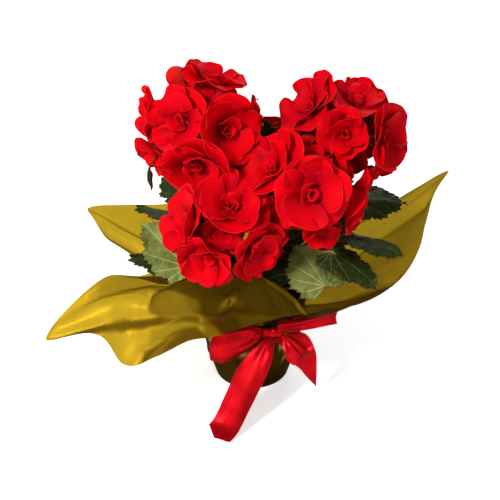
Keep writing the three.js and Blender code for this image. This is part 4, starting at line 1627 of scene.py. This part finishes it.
def film_place(u, v):
    """Where a point of the film goes: smooth first, then with its pleats, swells and creases."""
    turn_share = (u + 1) / 2 % 1
    row = (v + 1) / 2 * FILM_ROWS
    if row <= FILM_LOW_ROWS:
        spot, depth = film_low_point(turn_share, row / FILM_LOW_ROWS)
        return spot, (turn_share, row / FILM_ROWS, depth)
    share = (row - FILM_LOW_ROWS) / FILM_COLLAR_ROWS
    spot = film_collar_point(turn_share, share)
    outward = Vector((spot.x, spot.y, 0)).normalized()
    before = film_collar_point(turn_share, max(0, share - PATH_STEP))
    slope = film_collar_point(turn_share, min(1, share + PATH_STEP)) - before
    around = Vector((-outward.y, outward.x, 0))
    normal = around.cross(slope).normalized()
    # The pleats deepen above the neck and are nearly smooth at the crest
    pleat = film_pleat(turn_share, NECK_HIGH + 60 * share)
    fold = mix(0.4, 3.2, smooth_step(0, 0.3, share)) * mix(1, 0.08, smooth_step(0.25, 0.6, share))
    swell = 1.6 * noise.noise(spot / 34) + 0.5 * noise.noise(spot / 12)
    at = collar_place(turn_share * len(FILM_STATIONS), share)
    loose = smooth_step(0.1, 0.5, share) * mix(1, 0.5, smooth_step(0.6, 0.8, share))
    lift = fold * pleat * smooth_step(0, 0.1, share) + swell * loose
    lift += film_creases(at) * smooth_step(0.1, 0.6, share)
    point = sum(tent(turn_share, *corner) for corner in FILM_CORNERS) * smooth_step(0.7, 1, share)
    spot = spot + normal * lift + slope.normalized() * point
    spot.z += tent(turn_share, *FRONT_PLEAT) * smooth_step(0.3, 0.6, share) * smooth_step(1, 0.8, share)
    return spot, (turn_share, row / FILM_ROWS, film_depth(at))


class BEGONIA_OT_film(bpy.types.Operator):
    """Gathers the square of gold film round the pot and opens it into a collar"""

    bl_idname = "begonia.film"
    bl_label = "Film"

    def execute(self, context):
        wrap = context.scene.begonia_wrap
        film = shaped_grid("gold_film", FILM_COLUMNS, FILM_ROWS, film_place)
        merge_doubles(film, 1e-5)
        give_thickness(film, wrap.film_thickness)
        smooth_shaded(film)
        give_material(film, film_material())
        finish_piece(film, "film", "film_wrap")
        return {"FINISHED"}


# Ribbon

STRIP_COLUMNS = 14
STRIP_ROWS = 70
BAND_COLUMNS = 160
BAND_ROWS = 12
BAND_RADIUS = NECK_RADIUS + 2.3
BAND_INSET = 1.2


def run_length(points):
    return sum((b - a).length for a, b in zip(points, points[1:]))


def strip_place(strip, is_loop, seed):
    """Where the points of a strip of ribbon go, gathered where it leaves the knot."""
    path = [Vector(spot) for spot, _ in strip["path"]]
    sides = [Vector(side) for _, side in strip["path"]]
    narrow, wide = strip["width"]
    left_end, middle_end, right_end = strip.get("cut", (1, 1, 1))
    length = run_length(path)
    loose = strip.get("loose", 1)

    def place(u, v):
        share = (v + 1) / 2 * mix(middle_end, left_end if u < 0 else right_end, abs(u))
        opened = min(1, strip["opens"] * share * (2 * (1 - share) if is_loop else 1))
        grown = math.sin(math.pi / 2 * opened)
        half = mix(narrow, wide, grown) / 2
        side = curve_point(sides, share).normalized()
        middle = curve_point(path, share)
        before = curve_point(path, max(0, share - PATH_STEP))
        ahead = curve_point(path, min(1, share + PATH_STEP)) - before
        normal = side.cross(ahead).normalized()
        gather = 1 - grown**3
        wrinkle = 1.3 * gather * math.sin(2.5 * math.pi * u + seed)
        wrinkle += 1.6 * (1 - grown * 0.5) * noise.noise(Vector((u * 1.6, share * 3, seed)))
        arch = 0.2 * half * (1 - u * u) * smooth_step(1, 0.75, share)
        spot = middle + side * (half * u) + normal * (loose * wrinkle + arch)
        return spot, (u * wide / 2, share * length, u)

    return place


class BEGONIA_OT_bow(bpy.types.Operator):
    """Lays the loops and tails of the satin bow"""

    bl_idname = "begonia.bow"
    bl_label = "Bow loops and tails"

    def execute(self, context):
        wrap = context.scene.begonia_wrap
        for seed, (name, strip) in enumerate(STRIPS.items()):
            is_loop = "loop" in name
            place = strip_place(strip, is_loop, seed)
            piece = shaped_grid(name + "_satin", STRIP_COLUMNS, STRIP_ROWS, place)
            give_thickness(piece, wrap.ribbon_thickness)
            smooth_shaded(piece)
            give_material(piece, ribbon_material())
            finish_piece(piece, "ribbon", name)
        return {"FINISHED"}


def band_place(u, v):
    """The band: three folds of ribbon drawn tight round the neck."""
    a = math.pi * u
    radius = BAND_RADIUS + 0.25 * math.sin(5 * v + 2 * math.sin(3 * a))
    height = mix(NECK_LOW + BAND_INSET, NECK_HIGH - BAND_INSET, (v + 1) / 2)
    spot = Vector((radius * math.cos(a), radius * math.sin(a), height))
    return spot, (12 * v, radius * a, v)


class BEGONIA_OT_band(bpy.types.Operator):
    """Draws the ribbon band round the neck of the film"""

    bl_idname = "begonia.band"
    bl_label = "Ribbon band"

    def execute(self, context):
        wrap = context.scene.begonia_wrap
        piece = shaped_grid("ribbon_band_satin", BAND_COLUMNS, BAND_ROWS, band_place)
        merge_doubles(piece, 1e-5, outwards=False)
        give_thickness(piece, wrap.ribbon_thickness)
        smooth_shaded(piece)
        give_material(piece, ribbon_material())
        finish_piece(piece, "ribbon", "ribbon_band")
        return {"FINISHED"}


class BEGONIA_OT_knot(bpy.types.Operator):
    """Pulls the knot of the bow tight, with folds that run round it"""

    bl_idname = "begonia.knot"
    bl_label = "Knot"

    def execute(self, context):
        deselect_all()
        bpy.ops.mesh.primitive_uv_sphere_add(segments=64, ring_count=32, radius=1)
        piece = context.object
        piece.name = "ribbon_knot_satin"
        surface = piece.data.attributes.new("surface", "FLOAT_VECTOR", "POINT")
        for i, vertex in enumerate(piece.data.vertices):
            spot = vertex.co.copy()
            around = math.atan2(spot.z, spot.y)
            fold = 0.07 * math.sin(8 * spot.x + 1.2 * math.sin(2 * around))
            fold += 0.05 * noise.noise(spot * 2.5)
            waist = 1 - 0.12 * math.cos(3 * spot.x)
            surface.data[i].vector = (spot.x * 14, around * 7, 0)
            spot = spot * (waist + fold)
            vertex.co = Vector([c * s for c, s in zip(spot, KNOT_SIZE)]) * MM + KNOT * MM
        smooth_shaded(piece)
        give_material(piece, ribbon_material())
        finish_piece(piece, "ribbon", "ribbon_knot")
        return {"FINISHED"}


# Stage

LAMP_TARGET = Vector((0, 0, 180))
# Lamps: the place, the size and the power in watts
LAMPS = {
    "key": (Vector((-1000, -1250, 1450)), 450, 38),
    "fill": (Vector((1500, -900, 900)), 1200, 4),
    "back": (Vector((300, 1600, 1400)), 1200, 10),
}
FLOOR_METRES = 30
PALE_GLOW = 0.6
WORLD_LIGHT = 0.3


def aim(thing, place, target):
    thing.location = place * MM
    thing.rotation_euler = ((target - place) * MM).to_track_quat("-Z", "Y").to_euler()


class BEGONIA_OT_stage(bpy.types.Operator):
    """Sets the pale floor, the soft lights and the camera"""

    bl_idname = "begonia.stage"
    bl_label = "Stage"

    def execute(self, context):
        deselect_all()
        bpy.ops.mesh.primitive_plane_add(size=FLOOR_METRES)
        floor = context.object
        floor.name = "floor"
        material, tree, shader = new_material(
            "pale_floor", Roughness=0.9, Specular_IOR_Level=0.1, Emission_Color=(1, 1, 1, 1)
        )
        # The floor glows only where it is looked at, so that it throws no light up on the film
        path = node(tree, "LightPath")
        seen = maths(tree, "MAXIMUM", path.outputs["Is Camera Ray"], path.outputs["Is Transmission Ray"])
        connect(tree, shader, Emission_Strength=times(tree, seen, PALE_GLOW))
        cloud = node(tree, "TexNoise", {"Vector": object_place(tree), "Scale": 3.0})
        colour = blend_colours(tree, cloud.outputs["Fac"], (0.9, 0.9, 0.9, 1), (0.93, 0.93, 0.93, 1))
        connect(tree, shader, Base_Color=colour)
        give_material(floor, material)

        world = bpy.data.worlds.new("studio")
        world.use_nodes = True
        # It lights softly, and is as pale as the floor where it is looked at
        tree = world.node_tree
        background = tree.nodes["Background"]
        background.inputs["Color"].default_value = (1, 1, 1, 1)
        seen = times(tree, node(tree, "LightPath").outputs["Is Camera Ray"], PALE_GLOW)
        tree.links.new(maths(tree, "ADD", seen, WORLD_LIGHT), background.inputs["Strength"])
        context.scene.world = world

        for name, (place, size, power) in LAMPS.items():
            light = bpy.data.lights.new(name, "AREA")
            light.shape = "DISK"
            light.size = size * MM
            light.energy = power
            aim(placed(name, light), place, LAMP_TARGET)

        camera = bpy.data.cameras.new("camera")
        camera.sensor_width = SENSOR
        camera.lens = SENSOR * FOCAL_PIXELS / VIEW_PIXELS
        camera.shift_x = -(CENTRE_COLUMN - VIEW_PIXELS / 2) / VIEW_PIXELS
        camera.shift_y = (CENTRE_ROW - VIEW_PIXELS / 2) / VIEW_PIXELS
        camera.clip_end = 50
        eye = placed("camera", camera)
        back = Vector((0, -math.cos(CAMERA_ELEVATION), math.sin(CAMERA_ELEVATION)))
        aim(eye, CAMERA_TARGET + back * CAMERA_DISTANCE, CAMERA_TARGET)
        context.scene.camera = eye
        context.scene.view_settings.view_transform = "Standard"
        return {"FINISHED"}


OPERATORS = [
    BEGONIA_OT_stage,
    BEGONIA_OT_pot,
    BEGONIA_OT_soil,
    BEGONIA_OT_film,
    BEGONIA_OT_band,
    BEGONIA_OT_knot,
    BEGONIA_OT_bow,
    BEGONIA_OT_leafy_stems,
    BEGONIA_OT_flowers,
]


class BEGONIA_PT_panel(bpy.types.Panel):
    """Lists the settings and the pieces"""

    bl_label = "Begonia"
    bl_idname = "BEGONIA_PT_panel"
    bl_space_type = "VIEW_3D"
    bl_region_type = "UI"
    bl_category = "Begonia"

    def draw(self, context):
        for settings in (context.scene.begonia_plant, context.scene.begonia_wrap):
            for name in settings.__annotations__:
                self.layout.prop(settings, name)
        for operator in OPERATORS:
            self.layout.operator(operator.bl_idname)


CLASSES = [PlantSettings, WrapSettings, *OPERATORS, BEGONIA_PT_panel]


def register():
    for kind in CLASSES:
        bpy.utils.register_class(kind)
    bpy.types.Scene.begonia_plant = PointerProperty(type=PlantSettings)
    bpy.types.Scene.begonia_wrap = PointerProperty(type=WrapSettings)


def unregister():
    del bpy.types.Scene.begonia_plant
    del bpy.types.Scene.begonia_wrap
    for kind in reversed(CLASSES):
        bpy.utils.unregister_class(kind)


def main():
    register()
    bpy.ops.begonia.stage()
    bpy.ops.begonia.pot()
    bpy.ops.begonia.soil()
    bpy.ops.begonia.film()
    bpy.ops.begonia.band()
    bpy.ops.begonia.knot()
    bpy.ops.begonia.bow()
    bpy.ops.begonia.leafy_stems()
    bpy.ops.begonia.flowers()
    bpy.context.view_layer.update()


if __name__ == "__main__":
    main()
